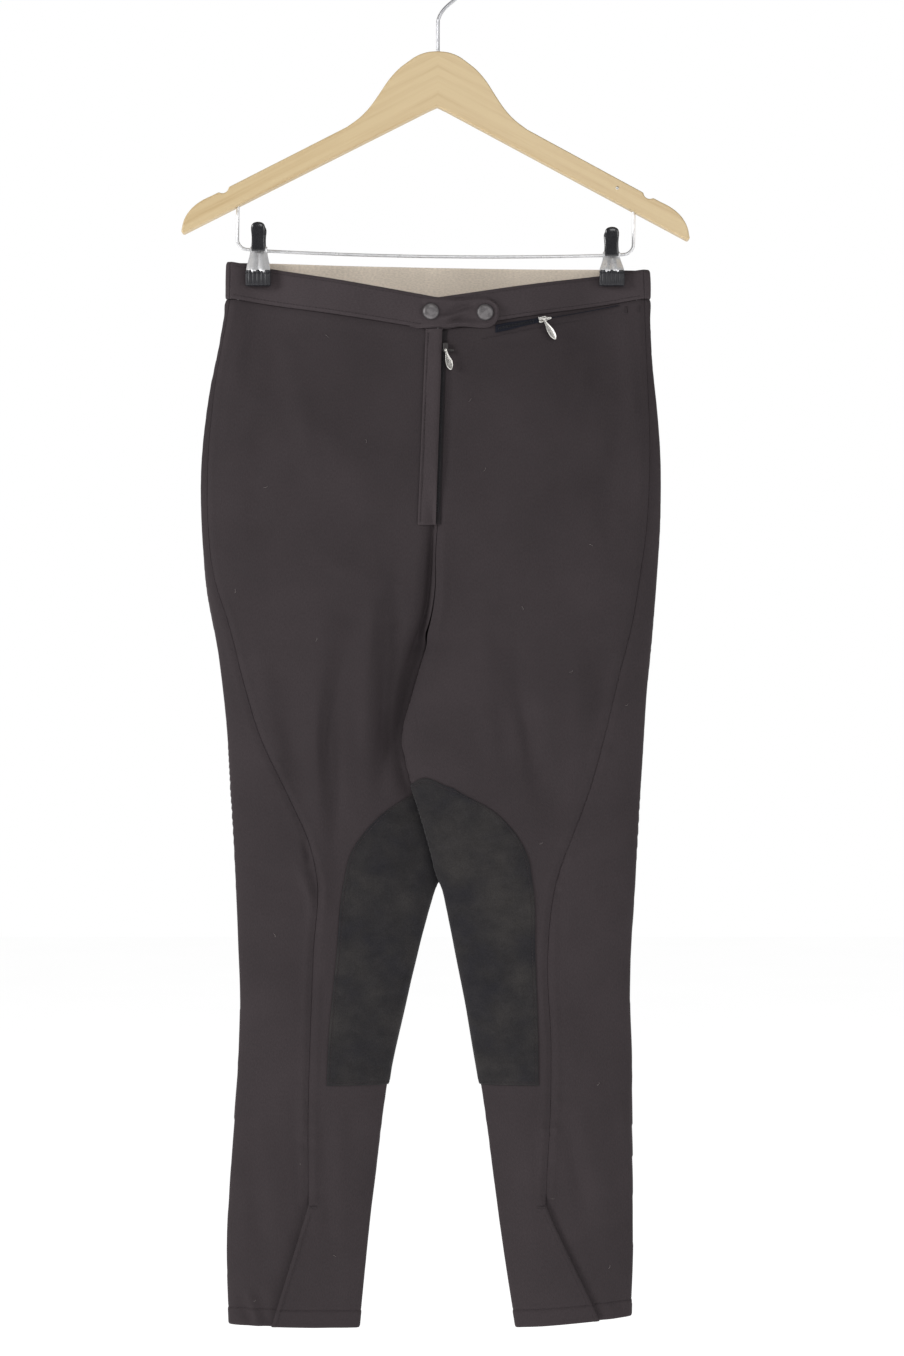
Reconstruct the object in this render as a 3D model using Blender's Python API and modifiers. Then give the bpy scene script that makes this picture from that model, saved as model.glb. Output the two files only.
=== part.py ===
"""Riding breeches hanging by two clips from a wooden hanger, in metres, +Z up.

The origin is the inner top of the hanger's hook. The front of the garment faces -Y, and left and right are
the viewer's, so left is -X. Tables and sizes are in millimetres, and each mesh is scaled once, when made.
"""

import math
from collections import namedtuple

import bmesh
import bpy
import numpy as np
from mathutils import Matrix, Vector

MM = 0.001
SEAM_GAP = 0.3  # between pieces that meet at a seam
SEAT_GAP = 0.35  # under a piece that lies on another
LEFT, RIGHT = -1, 1

# ---- driving dimensions of the garment -------------------------------------------------------------------

WAIST_TOP = -275.0  # mean height of the waistband's top edge
WAIST_SEAM = -304.0  # seam between waistband and panels, at the sides and back
FORK_TOP = -470.0  # where the front and back seams start to curve in towards the crotch
CROTCH = -612.0
FORK_EASE = 50.0  # the outer parts turn from trunk to leg over this much more, above and below
FORK_SHARPNESS = 28  # the higher it is, the closer to the middle plane the crotch seam's curve stays
KNEE = -930.0
FLAP_TOP = -1096.0  # top of the ankle vent
HEM = -1204.0
CLOTH = 1.6  # wall of a panel
BAND_STEP, BAND = 0.7, 2.3  # the band's face stands out from the panels by the first, its wall is the second
FACING = 1.0
SUEDE, PATCH_GAP = 1.0, 1.0
FRONT_DROP, DROP_HALF_WIDTH = 30.0, 180.0  # the front of the waist dips to the middle
TOP_TILT, TILT_HALF_WIDTH = -3.5, 185.0  # the waist hangs lower on the right
CENTRE_CLEARANCE = 0.2  # each half's distance from the middle plane below the fork
TIP_FULLNESS = 0.84  # under 1 the inner and outer leg edges are blunter than an ellipse's

# Height, outer edge on each side, inner edge of each leg, and depth of the front and back from the middle.
Station = namedtuple("Station", "z outer_left outer_right inner_left inner_right front back")
STATIONS = (
    Station(-270, 184.8, 184.8, 0, 0, 23, 12),
    Station(-305, 185.7, 185.7, 0, 0, 24, 14),
    Station(-344, 191.8, 186.6, 0, 0, 25, 20),
    Station(-397, 201.5, 191.5, 0, 0, 27, 27),
    Station(-449, 207.3, 194.5, 0, 0, 28, 31),
    Station(-502, 206.7, 194.5, 0, 0, 28, 32),
    Station(-554, 202.5, 191.4, 0, 0, 26, 29),
    Station(-607, 193.5, 187.0, 0, 0, 23, 25),
    Station(-660, 186.6, 182.2, 2, 2, 20, 21),
    Station(-738, 181.3, 177.0, 3, 3, 17, 18),
    Station(-817, 177.0, 172.6, 4, 5, 16, 17),
    Station(-870, 175.2, 169.1, 17.5, 14.9, 15.5, 16.5),
    Station(-922, 173.4, 168.2, 29.8, 25.4, 15, 16),
    Station(-975, 175.2, 169.9, 41.2, 34.2, 14.5, 16),
    Station(-1027, 178.7, 169.9, 49.1, 42.0, 14, 16),
    Station(-1080, 182.2, 170.8, 55.2, 49.1, 13, 14.5),
    Station(-1132, 184.8, 170.8, 61.3, 56.1, 12, 12.5),
    Station(-1206, 182.6, 169.1, 68.3, 67.5, 11, 11),
)

# The front of the outseam on each side: it leaves the side at the hip and comes forward to the shin.
SeamPoint = namedtuple("SeamPoint", "z left right")
OUTSEAM = (
    SeamPoint(-304, 182.2, 180.5),
    SeamPoint(-382, 195.5, 184.0),
    SeamPoint(-449, 201.5, 185.0),
    SeamPoint(-502, 201.0, 182.5),
    SeamPoint(-550, 195.0, 176.0),
    SeamPoint(-586, 183.5, 170.0),
    SeamPoint(-636, 170.5, 157.5),
    SeamPoint(-690, 153.5, 144.5),
    SeamPoint(-737, 131.4, 131.0),
    SeamPoint(-778, 113.0, 115.6),
    SeamPoint(-810, 105.5, 104.2),
    SeamPoint(-876, 108.5, 95.8),
    SeamPoint(-956, 111.5, 98.6),
    SeamPoint(-1010, 113.0, 98.1),
    SeamPoint(-1096, 113.0, 94.0),
    SeamPoint(-1206, 113.0, 96.0),
)
FLAP_HEM = {LEFT: 145.4, RIGHT: 141.0}  # outer corner of each ankle flap at the hem
FLAP_STEP, FLAP_STEP_LENGTH = 2.0, 12.0  # the flap stands out this far, from this length above the vent
HEM_RISE = {LEFT: 3.0, RIGHT: 10.0}  # the hem is higher at the outer edge

# How far the legs' inner rolls lap past each other: the right leg to the left in front, the left behind.
Lap = namedtuple("Lap", "z reach")
LAPS = (
    Lap(-500, 0),
    Lap(-530, 2),
    Lap(-560, 2.5),
    Lap(-590, 8),
    Lap(-612, 17),
    Lap(-633, 26),
    Lap(-655, 35),
    Lap(-675, 42.5),
    Lap(-690, 45),
    Lap(-708, 42),
    Lap(-740, 33),
    Lap(-770, 22.5),
    Lap(-790, 15.7),
    Lap(-810, 9.7),
    Lap(-820, 4),
    Lap(-840, 0),
)
LAP_DEPTH, LAP_FADE = 6.0, 85.0  # the depth at which the lap is nearly full, and its fading width

# The clips press front and back together at these shares of the half width.
CLIP_X = {LEFT: -157.0, RIGHT: 152.0}
PINCH_IN, PINCH_OUT = 45.0, 26.0  # the pinch's reach towards the middle and towards the side
PINCH_FRONT, PINCH_BACK = 3.0, 4.4
PINCH_FADES_AT = -400.0

# Largest folds. Height is out from the face, so a trough is negative. Width is to the fold's shoulder.
Fold = namedtuple("Fold", "side face x_top x_bottom top bottom width height")
FOLDS = (
    Fold(LEFT, "front", 98, 102, -545, -860, 15, 3.2),
    Fold(LEFT, "front", 68, 74, -560, -770, 14, -2.6),
    Fold(RIGHT, "front", 58, 82, -540, -730, 16, -3.0),
    Fold(RIGHT, "front", 104, 92, -560, -780, 16, 2.4),
    Fold(LEFT, "front", 150, 176, -330, -470, 14, 1.8),
    Fold(RIGHT, "front", 126, 160, -340, -480, 16, 2.0),
    Fold(LEFT, "back", 50, 76, -540, -735, 18, 3.2),
    Fold(LEFT, "back", 92, 108, -560, -760, 15, -2.8),
    Fold(RIGHT, "back", 46, 70, -530, -735, 18, 3.0),
    Fold(RIGHT, "back", 88, 106, -550, -750, 15, -2.8),
    Fold(RIGHT, "front", 118, 146, -1000, -1110, 12, 2.2),
    Fold(LEFT, "front", 150, 132, -1040, -1160, 12, 2.0),
)

# Front edge of the suede patches, from the top of the inner knee down.
PatchEdge = namedtuple("PatchEdge", "z left right")
PATCH_EDGE = (
    PatchEdge(-733, 14.0, 14.0),
    PatchEdge(-751, 40.0, 38.0),
    PatchEdge(-767, 57.0, 56.1),
    PatchEdge(-786, 75.0, 72.7),
    PatchEdge(-816, 82.3, 81.5),
    PatchEdge(-876, 88.2, 84.8),
    PatchEdge(-956, 95.5, 87.4),
    PatchEdge(-991, 97.0, 87.8),
)
PATCH_COLUMNS = 10
PATCH_INSET = 0.012  # in turns, from the inseam
PATCH_CLEAR = 3.0  # of the left patch to the right leg's roll before it
FRONT_COLUMNS, FLAP_COLUMNS = 11, 3
OUTER_TURNS = np.linspace(0.5, 1.0, 20)  # columns of the back band and facing, from the side to the middle
FACING_START = 0.68  # the facing covers these turns of the back band

# ---- driving dimensions of the trim ------------------------------------------------------------------------

PLACKET_TOP, PLACKET_BOTTOM = -336.5, -503.0
PLACKET_LEFT, PLACKET_RIGHT = (-10.5, -17.5), (4.0, -1.8)  # x at the top and at the bottom
PLACKET, PLACKET_LIFT = 1.8, 1.1  # its wall, and how much its right edge rides up over the tape
TAPE = 0.8
FLY_TAPE_IN, FLY_TAPE_OUT = 1.5, 6.0  # the fly tape's edges, left and right of the placket's right edge
POCKET_START, POCKET_END = (55.0, -331.5), (149.0, -311.6)
POCKET_TAPE_WIDTH = 4.4
HOLLOW_FROM, HOLLOW_LIFT = (92.0, 110.0), 0.75  # the pocket tape spans the hollow beside the right clip
TAB_START, TAB_END, TAB_HEIGHT, TAB_MIDDLE = -20.0, 53.4, 27.0, -318.5
TAB_WAIST, TAB = 1.4, 1.8  # the tab's narrowing in the middle, and its wall
SNAPS = {"snap_left": (-6.1, -317.8), "snap_right": (41.0, -318.4)}
SNAP_RADIUS, SNAP_HEIGHT = 7.9, 2.0

SLIDER_LENGTH, SLIDER_WIDTH, SLIDER_THICK = 8.0, 5.2, 1.8
PIN_RADIUS, PIN_HEIGHT, PIN_DROP = 0.45, 4.6, 2.4  # the pull's pin, above the tape and below the middle
CHEEK, CHEEK_LENGTH, CHEEK_GAP, POCKET_CHEEK_GAP = 0.8, 1.8, 2.9, 5.2
EYE_RADIUS, EYE_HOLE, EYE_WIDTH = 1.25, 0.8, 2.3
LEAF_LENGTH, LEAF_WIDTH, LEAF_THICK, LEAF_LEAN = 18.0, 6.0, 1.0, 6.0
FLY_SLIDER, FLY_PULL_SLANT = (6.8, -349.0), 15.0
POCKET_SLIDER_X, POCKET_PULL_SLANT, POCKET_PULL_STRETCH = 90.5, 33.0, 1.15

# ---- driving dimensions of the hanger ----------------------------------------------------------------------

HANGER_TILT = math.radians(0.77)  # the right arm hangs lower
NECK = -87.5  # top of the wood
WOOD_THICK, WOOD_ROUND = 12.0, 2.2
HALF_SPAN, APEX, UNDERSIDE_SLOPE = 222.5, -134.5, 0.524
CROWN = (  # the wood's upper outline from the neck to the straight arm, as x and z
    (0.0, -87.5),
    (9.0, -88.4),
    (18.0, -91.6),
    (26.0, -97.0),
    (34.5, -103.8),
    (43.0, -113.6),
    (51.0, -125.8),
    (59.0, -137.3),
    (68.0, -146.8),
    (79.0, -155.0),
)
ARM_END = (196.0, -216.5)
TIP = ((204.0, -220.4), (211.0, -225.4), (216.5, -231.4), (220.5, -239.0), (222.5, -248.6))
NOTCH_X, NOTCH_Z, NOTCH_RADIUS = 187.0, -208.6, 5.6
HOOK_RADIUS, HOOK_WIRE = 24.0, 1.5
HOOK_START, HOOK_END = -54.0, 200.0  # degrees round the hook's ring, from +X
HOOK_STEM_TOP, HOOK_STEM_DEPTH, STEM_CLEARANCE = -62.0, 14.0, 0.7
BAR_RADIUS, BAR_SPAN, BAR_CORNER, BAR_SAG = 1.4, 173.5, 9.0, 4.0
BAR_TOP, BAR_HEIGHT = -219.5, -262.6  # the bar's ends in the wood, and its straight run
BAR_SOCKET_CLEARANCE = 0.5
CLIP_BODY_WIDTH, CLIP_PAD_WIDTH, CLIP_GRIP_WIDTH = 17.0, 22.0, 12.0
PAD_TOP, PAD_BOTTOM, PAD_THICK, PAD_CLEARANCE = -279.6, -293.3, 4.4, 1.4
GRIP_HEIGHT, GRIP_DROP, GRIP_THICK, GRIP_LEAN = 25.5, 1.5, 4.2, 9.0  # the grip starts below the bar's middle
HUB_INSIDE, CLIP_WALL, BAR_PLAY = 2.4, 1.6, 0.85

COLLECTION = bpy.data.collections.new("breeches_on_hanger")
CUTTERS = bpy.data.collections.new("cutters")


# ---- scene and materials -----------------------------------------------------------------------------------


def clear_scene():
    for obj in list(bpy.data.objects):
        bpy.data.objects.remove(obj, do_unlink=True)
    bpy.context.scene.collection.children.link(COLLECTION)
    bpy.context.scene.collection.children.link(CUTTERS)
    CUTTERS.hide_render = True


def material(name, colour, roughness, metallic=0.0):
    made = bpy.data.materials.new(name)
    made.use_nodes = True
    shader = made.node_tree.nodes["Principled BSDF"]
    shader.inputs["Base Color"].default_value = (*colour, 1.0)
    shader.inputs["Roughness"].default_value = roughness
    shader.inputs["Metallic"].default_value = metallic
    made.diffuse_color = (*colour, 1.0)
    return made


def finishes():
    """Linear colours of each material."""
    return {
        "cloth": material("brown_stretch_cloth", (0.048, 0.039, 0.042), 0.85),
        "band": material("brown_band_cloth", (0.065, 0.051, 0.056), 0.85),
        "suede": material("dark_suede", (0.031, 0.030, 0.032), 0.95),
        "facing": material("beige_facing", (0.43, 0.38, 0.32), 0.8),
        "tape": material("navy_zip_tape", (0.02, 0.022, 0.035), 0.7),
        "snap": material("grey_snap", (0.17, 0.16, 0.165), 0.4, 0.7),
        "metal": material("nickel", (0.5, 0.48, 0.45), 0.3, 1.0),
        "chrome": material("chrome", (0.6, 0.6, 0.62), 0.15, 1.0),
        "rubber": material("black_coating", (0.03, 0.03, 0.035), 0.45),
        "wood": material("pale_wood", (0.63, 0.46, 0.25), 0.5),
    }


def add_object(name, mesh, finish, collection=None):
    mesh.materials.clear()
    mesh.materials.append(finish)
    obj = bpy.data.objects.new(name, mesh)
    (collection or COLLECTION).objects.link(obj)
    return obj


# ---- curves through the tables -----------------------------------------------------------------------------


def smooth_step(low, high, value):
    share = np.clip((np.asarray(value, float) - low) / (high - low), 0.0, 1.0)
    return share * share * (3.0 - 2.0 * share)


def through(rows, column, z):
    """The table's column at height z, on a smooth curve that passes through every row."""
    heights = -np.array([row.z for row in rows], float)
    values = np.array([getattr(row, column) for row in rows], float)
    slopes = np.gradient(values, heights)
    depth = -np.asarray(z, float)
    i = np.clip(np.searchsorted(heights, depth) - 1, 0, len(heights) - 2)
    span = heights[i + 1] - heights[i]
    t = np.clip((depth - heights[i]) / span, 0.0, 1.0)
    from_start = (1 + 2 * t) * (1 - t) ** 2 * values[i] + t * (1 - t) ** 2 * span * slopes[i]
    from_end = t * t * (3 - 2 * t) * values[i + 1] + t * t * (t - 1) * span * slopes[i + 1]
    return from_start + from_end


def side_column(stem, side):
    return stem + ("_left" if side == LEFT else "_right")


def signed_power(value, power):
    return np.sign(value) * np.abs(value) ** power


# ---- the garment's outer face ------------------------------------------------------------------------------


def leg_share(turn, z):
    """0 where a half is open at the middle, 1 where it is a closed leg. At the middle it follows the round
    crotch seam, and away from it the trunk runs smoothly into the leg."""
    fall = np.clip((FORK_TOP - z) / (FORK_TOP - CROTCH), 0.0, 1.0)
    by_seam = 1.0 - np.sqrt(1.0 - fall**2)
    by_side = smooth_step(FORK_TOP + FORK_EASE, CROTCH - FORK_EASE, z)
    near_middle = np.abs(np.cos(np.pi * turn)) ** FORK_SHARPNESS
    return near_middle * by_seam + (1 - near_middle) * by_side


def fold_height(side, is_front, x, z):
    total = np.zeros(np.broadcast(x, z).shape)
    for fold in FOLDS:
        if fold.side != side:
            continue
        run = np.clip((fold.top - z) / (fold.top - fold.bottom), 0.0, 1.0)
        middle = fold.x_top + (fold.x_bottom - fold.x_top) * run
        along = np.sin(np.pi * run) ** 0.8
        across = np.exp(-(((x - middle) / fold.width) ** 2))
        face = is_front if fold.face == "front" else ~is_front
        total = total + fold.height * along * across * face
    return total


def outer_point(side, turn, z):
    """Points (n, 3) of one half's outer face. turn is 0 at the centre front or inseam, 0.5 at the outer
    edge, and 1 at the centre back or inseam. z is the height before the waist and hem are shaped."""
    turn, z = np.broadcast_arrays(np.asarray(turn, float), np.asarray(z, float))
    outer = through(STATIONS, side_column("outer", side), z)
    inner = through(STATIONS, side_column("inner", side), z)
    leg = leg_share(turn, z)
    x_trunk, y_trunk = outer * np.sin(np.pi * turn), -np.cos(np.pi * turn)
    cosine, sine = np.cos(2 * np.pi * turn), np.sin(2 * np.pi * turn)
    x_leg = (outer + inner) / 2 - (outer - inner) / 2 * signed_power(cosine, TIP_FULLNESS)
    y_leg = -signed_power(sine, TIP_FULLNESS)
    x = (1 - leg) * x_trunk + leg * (x_leg + CENTRE_CLEARANCE)
    flat = (1 - leg) * y_trunk + leg * y_leg
    is_front = flat < 0
    free = np.abs(flat) * np.where(
        is_front, through(STATIONS, "front", z), through(STATIONS, "back", z)
    )
    from_clip = x - abs(CLIP_X[side])
    pinch = np.exp(-((from_clip / np.where(from_clip < 0, PINCH_IN, PINCH_OUT)) ** 2))
    pinch = pinch * smooth_step(PINCH_FADES_AT, WAIST_SEAM, z)
    held = np.minimum(free, np.where(is_front, PINCH_FRONT, PINCH_BACK))
    depth = free * (1 - pinch) + held * pinch
    edge = np.clip(np.abs(flat) * 2.5, 0.0, 1.0)
    depth = depth + fold_height(side, is_front, x, z) * edge
    y = np.where(is_front, -depth, depth)
    x = lapped(side * x, y, z)
    drop = FRONT_DROP * np.clip(1 - np.abs(x) / DROP_HALF_WIDTH, 0.0, 1.0)
    drop = drop * smooth_step(-450.0, WAIST_SEAM, z) * is_front
    tilt = TOP_TILT * x / TILT_HALF_WIDTH * np.clip((z - WAIST_SEAM) / (WAIST_TOP - WAIST_SEAM), 0, 1.2)
    across = np.clip((np.abs(x) - inner) / (outer - inner), 0.0, 1.0)
    rise = HEM_RISE[side] * across * smooth_step(FLAP_TOP, HEM, z)
    return np.stack([x, y, z - drop + tilt + rise], axis=-1)


def lapped(x, y, z):
    """Shifts the front to the left and the back to the right between the legs, so that the right leg's inner
    roll passes in front of the left's."""
    return x + through(LAPS, "reach", z) * np.tanh(y / LAP_DEPTH) * np.exp(-((x / LAP_FADE) ** 4))


def outward(side, turn, z, step=0.6):
    """Unit normals of the outer face."""
    turn_step = 0.002
    around = outer_point(side, turn + turn_step, z) - outer_point(side, turn - turn_step, z)
    upward = outer_point(side, turn, z + step) - outer_point(side, turn, z - step)
    normal = np.cross(around, upward) * side
    return normal / np.linalg.norm(normal, axis=-1, keepdims=True)


def turn_at(side, x, z):
    """The turn on the front at which the outer face is at distance x from the middle."""
    turns = np.linspace(0.03, 0.5, 240)
    reach = side * outer_point(side, turns, np.full_like(turns, z))[:, 0]
    return float(np.interp(x, reach, turns))


def front_point(x, z, lift):
    """A point of the front at x and true height z, moved out by lift, with the normal there."""
    side = LEFT if x < 0 else RIGHT
    nominal = z
    for _ in range(12):
        turn = turn_at_centre(side, abs(x), nominal)
        point = outer_point(side, turn, nominal)
        nominal += z - point[2]
    normal = outward(side, turn, nominal)
    return point + normal * lift, normal


def turn_at_centre(side, x, z):
    turns = np.linspace(0.0, 0.5, 240)
    reach = side * outer_point(side, turns, np.full_like(turns, z))[:, 0]
    return float(np.interp(x, reach, turns))


# ---- walls -------------------------------------------------------------------------------------------------


def pull_back(points, gap):
    """Moves both end columns of a grid inwards along its rows, to leave a gap at the seams."""
    for end, neighbour in ((0, 1), (-1, -2)):
        along = points[:, neighbour] - points[:, end]
        length = np.linalg.norm(along, axis=-1, keepdims=True)
        points[:, end] += along / length * np.minimum(gap, length * 0.4)
    return points


def wall(name, outer, inner, finish):
    """One closed wall between two grids of points, (rows, columns, 3) in millimetres."""
    rows, columns = outer.shape[:2]
    mesh = bmesh.new()
    layers = [
        [[mesh.verts.new(Vector(point) * MM) for point in row] for row in grid] for grid in (outer, inner)
    ]
    top, bottom = layers
    for i in range(rows - 1):
        for j in range(columns - 1):
            falling = np.linalg.norm(outer[i, j] - outer[i + 1, j + 1])
            rising = np.linalg.norm(outer[i, j + 1] - outer[i + 1, j])
            for skin in layers:
                a, b, c, d = skin[i][j], skin[i][j + 1], skin[i + 1][j + 1], skin[i + 1][j]
                halves = ((a, b, c), (a, c, d)) if falling <= rising else ((a, b, d), (b, c, d))
                for corners in halves:
                    mesh.faces.new(corners if skin is top else corners[::-1])
    rim = [(0, j) for j in range(columns)] + [(i, columns - 1) for i in range(1, rows)]
    rim += [(rows - 1, j) for j in range(columns - 2, -1, -1)] + [(i, 0) for i in range(rows - 2, 0, -1)]
    for (a, b), (c, d) in zip(rim, rim[1:] + rim[:1]):
        corners = (top[c][d], top[a][b], bottom[a][b], bottom[c][d])
        # Both sides of a seam are split the same way, from the upper row's face to the lower row's back.
        first = 0 if a > c else 1
        mesh.faces.new((corners[first], corners[first + 1], corners[first + 2]))
        mesh.faces.new((corners[first], corners[first + 2], corners[(first + 3) % 4]))
    bmesh.ops.recalc_face_normals(mesh, faces=mesh.faces)
    data = bpy.data.meshes.new(name)
    mesh.to_mesh(data)
    mesh.free()
    data.shade_smooth()
    data.set_sharp_from_angle(angle=math.radians(50))
    return add_object(name, data, finish)


def panel_heights():
    """Row heights: even over the hips and legs, and round the crotch seam in even turns."""
    trunk = np.linspace(WAIST_SEAM - SEAM_GAP / 2, FORK_TOP, 7)
    turns = np.linspace(0, math.pi / 2, 9)[1:]
    fork = FORK_TOP + (CROTCH - FORK_TOP) * np.sin(turns)
    thigh = np.linspace(CROTCH, PATCH_EDGE[0].z, 6)[1:]
    knee = np.linspace(PATCH_EDGE[0].z, KNEE, 9)[1:]
    shin = np.linspace(KNEE, FLAP_TOP + FLAP_STEP_LENGTH, 7)[1:]
    vent = np.concatenate([[FLAP_TOP + 0.5], np.linspace(FLAP_TOP, HEM, 5)[1:]])
    return np.concatenate([trunk, fork, thigh, knee, shin, vent])


def grid_of(side, turns, heights, lifts, thickness):
    """Outer and inner grids from turns (rows, columns) at the given row heights."""
    z = np.repeat(np.asarray(heights)[:, None], turns.shape[1], axis=1)
    face = outer_point(side, turns, z)
    normal = outward(side, turns, z)
    outer = face + normal * np.asarray(lifts)[..., None]
    inner = outer - normal * thickness
    return outer, inner


def outseam_turn(side, z):
    return turn_at(side, float(through(OUTSEAM, "left" if side == LEFT else "right", z)), z)


def front_turns(side, heights):
    """Columns of a front panel: even to just short of the outseam, then the flap's step and its edge."""
    rows, lifts = [], []
    column = "left" if side == LEFT else "right"
    for z in heights:
        seam = float(through(OUTSEAM, column, z))
        down = np.clip((FLAP_TOP - z) / (FLAP_TOP - HEM), 0.0, 1.0)
        edge = seam + (FLAP_HEM[side] - seam) * down
        before, risen = turn_at(side, seam - 6.0, z), turn_at(side, seam - 1.2, z)
        flap = np.linspace(risen, turn_at(side, edge, z), FLAP_COLUMNS + 1)
        rows.append([*spread_turns(before, z), *flap])
        step = FLAP_STEP * float(smooth_step(FLAP_TOP + FLAP_STEP_LENGTH, FLAP_TOP + 1.0, z))
        lifts.append([0.0] * FRONT_COLUMNS + [step] * (FLAP_COLUMNS + 1))
    return np.array(rows), np.array(lifts)


def spread_turns(last, z):
    """Turns of the front panel's columns: an even width over the trunk, an even angle round the leg."""
    share = np.linspace(0.0, 1.0, FRONT_COLUMNS)
    leg = float(leg_share(0.0, z))
    even_width = np.arcsin(share * math.sin(math.pi * last)) / math.pi
    return even_width * (1 - leg) + share * last * leg


def back_turns(side, heights):
    """Columns of a back panel, closer together round the outer edge and at the inseam."""
    rows = []
    for z in heights:
        seam = outseam_turn(side, z)
        rows.append([*np.linspace(seam, 0.5, 5), *np.linspace(0.5, 1.0, 10)[1:]])
    return np.array(rows)


def add_panels(cloth):
    heights = panel_heights()
    for side, word in ((LEFT, "left"), (RIGHT, "right")):
        turns, lifts = front_turns(side, heights)
        outer, inner = grid_of(side, turns, heights, lifts, CLOTH)
        gap = SEAM_GAP / 2
        wall(f"front_panel_{word}", pull_back(outer, gap), pull_back(inner, gap), cloth)
        turns = back_turns(side, heights)
        outer, inner = grid_of(side, turns, heights, np.zeros_like(turns), CLOTH)
        wall(f"back_panel_{word}", pull_back(outer, gap), pull_back(inner, gap), cloth)


def patch_start(side, z):
    """The turn where a patch begins: at the inseam, or just clear of the roll where one leg laps the other."""
    near = np.linspace(0.0, 0.2, 81)
    roll = outer_point(RIGHT, near, np.full_like(near, z))[:, 0]
    if side == RIGHT:
        return float(near[np.argmin(roll)]) + PATCH_INSET
    return max(float(turn_at(side, PATCH_CLEAR - float(roll.min()), z)), PATCH_INSET)


def add_patches(suede):
    """Each patch covers the front of the inner knee, from the inseam or the roll out to its curved edge."""
    top, bottom = PATCH_EDGE[0].z, PATCH_EDGE[-1].z
    for side, word in ((LEFT, "left"), (RIGHT, "right")):
        heights, rows = [], []
        for z in [z for z in panel_heights() if bottom < z <= top] + [bottom]:
            edge = turn_at_centre(side, float(through(PATCH_EDGE, word, z)), z)
            start = patch_start(side, z)
            if edge > start + PATCH_INSET:
                heights.append(z)
                rows.append(np.linspace(edge, start, PATCH_COLUMNS))
        turns = np.array(rows)
        lifts = np.full_like(turns, PATCH_GAP + SUEDE)
        outer, inner = grid_of(side, turns, heights, lifts, SUEDE)
        wall(f"knee_patch_{word}", outer, inner, suede)


def add_waistband(band, facing):
    low, high = WAIST_SEAM + SEAM_GAP / 2, WAIST_TOP
    heights = np.linspace(high, low, 3)
    gap = SEAM_GAP / 2
    for side, word in ((LEFT, "left"), (RIGHT, "right")):
        seam = outseam_turn(side, WAIST_SEAM)
        turns = np.tile(np.linspace(0.0, seam, 22), (len(heights), 1))
        outer, inner = grid_of(side, turns, heights, np.full_like(turns, BAND_STEP), BAND)
        wall(f"waistband_front_{word}", pull_back(outer, gap), pull_back(inner, gap), band)
    grids = [[], []]
    for side in (LEFT, RIGHT):
        seam = outseam_turn(side, WAIST_SEAM)
        turns = np.tile([*np.linspace(seam, 0.5, 5), *OUTER_TURNS[1:]], (len(heights), 1))
        pair = grid_of(side, turns, heights, np.full_like(turns, BAND_STEP), BAND)
        for made, points in zip(grids, pair):
            made.append(points if side == LEFT else points[:, -2::-1])
    outer, inner = (np.concatenate(pair, axis=1) for pair in grids)
    wall("waistband_back", pull_back(outer, gap), pull_back(inner, gap), band)
    add_facing(facing)


def add_facing(facing):
    heights = np.linspace(WAIST_TOP - 1.5, WAIST_SEAM + 1.0, 3)
    turns = np.tile(OUTER_TURNS[OUTER_TURNS > FACING_START], (len(heights), 1))
    inside = BAND_STEP - BAND - SEAT_GAP
    grids = [[], []]
    for side in (LEFT, RIGHT):
        pair = grid_of(side, turns, heights, np.full_like(turns, inside), FACING)
        for made, points in zip(grids, pair):
            made.append(points if side == LEFT else points[:, -2::-1])
    outer, inner = (np.concatenate(pair, axis=1) for pair in grids)
    wall("waistband_facing", outer, inner, facing)


# ---- trim on the front -------------------------------------------------------------------------------------


def front_strip(name, edges, lifts, thickness, finish):
    """A wall on the front. edges is a row of (x, z) pairs across the strip for each station along it, and
    lifts gives the inner face's distance from the panel for each pair in a row."""
    outer, inner = [], []
    for row in edges:
        low, high = [], []
        for (x, z), lift in zip(row, lifts):
            lift = lift + HOLLOW_LIFT * float(smooth_step(*HOLLOW_FROM, x))
            point, normal = front_point(x, z, lift)
            low.append(point)
            high.append(point + normal * thickness)
        outer.append(high)
        inner.append(low)
    return wall(name, np.array(outer), np.array(inner), finish)


def add_placket(cloth):
    rows = []
    for down in np.linspace(0.0, 1.0, 11):
        z = PLACKET_TOP + (PLACKET_BOTTOM - PLACKET_TOP) * down
        left = PLACKET_LEFT[0] + (PLACKET_LEFT[1] - PLACKET_LEFT[0]) * down
        right = PLACKET_RIGHT[0] + (PLACKET_RIGHT[1] - PLACKET_RIGHT[0]) * down
        rows.append([(x, z) for x in np.linspace(left, right, 4)])
    lifts = SEAT_GAP + PLACKET_LIFT * np.array([0.0, 0.25, 0.9, 1.0])
    front_strip("fly_placket", rows, lifts, PLACKET, cloth)


def add_zip_tapes(tape):
    rows = []
    for down in np.linspace(0.0, 1.0, 11):
        z = PLACKET_TOP - 1.0 + (PLACKET_BOTTOM - PLACKET_TOP + 2.0) * down
        right = PLACKET_RIGHT[0] + (PLACKET_RIGHT[1] - PLACKET_RIGHT[0]) * down
        rows.append([(x, z) for x in np.linspace(right - FLY_TAPE_IN, right + FLY_TAPE_OUT, 3)])
    front_strip("fly_zip_tape", rows, [SEAT_GAP] * 3, TAPE, tape)
    rows = []
    for along in np.linspace(0.0, 1.0, 9):
        x = POCKET_START[0] + (POCKET_END[0] - POCKET_START[0]) * along
        z = POCKET_START[1] + (POCKET_END[1] - POCKET_START[1]) * along
        rows.append([(x, z + POCKET_TAPE_WIDTH / 2), (x, z - POCKET_TAPE_WIDTH / 2)])
    front_strip("pocket_zip_tape", rows, [SEAT_GAP] * 2, TAPE, tape)


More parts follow.
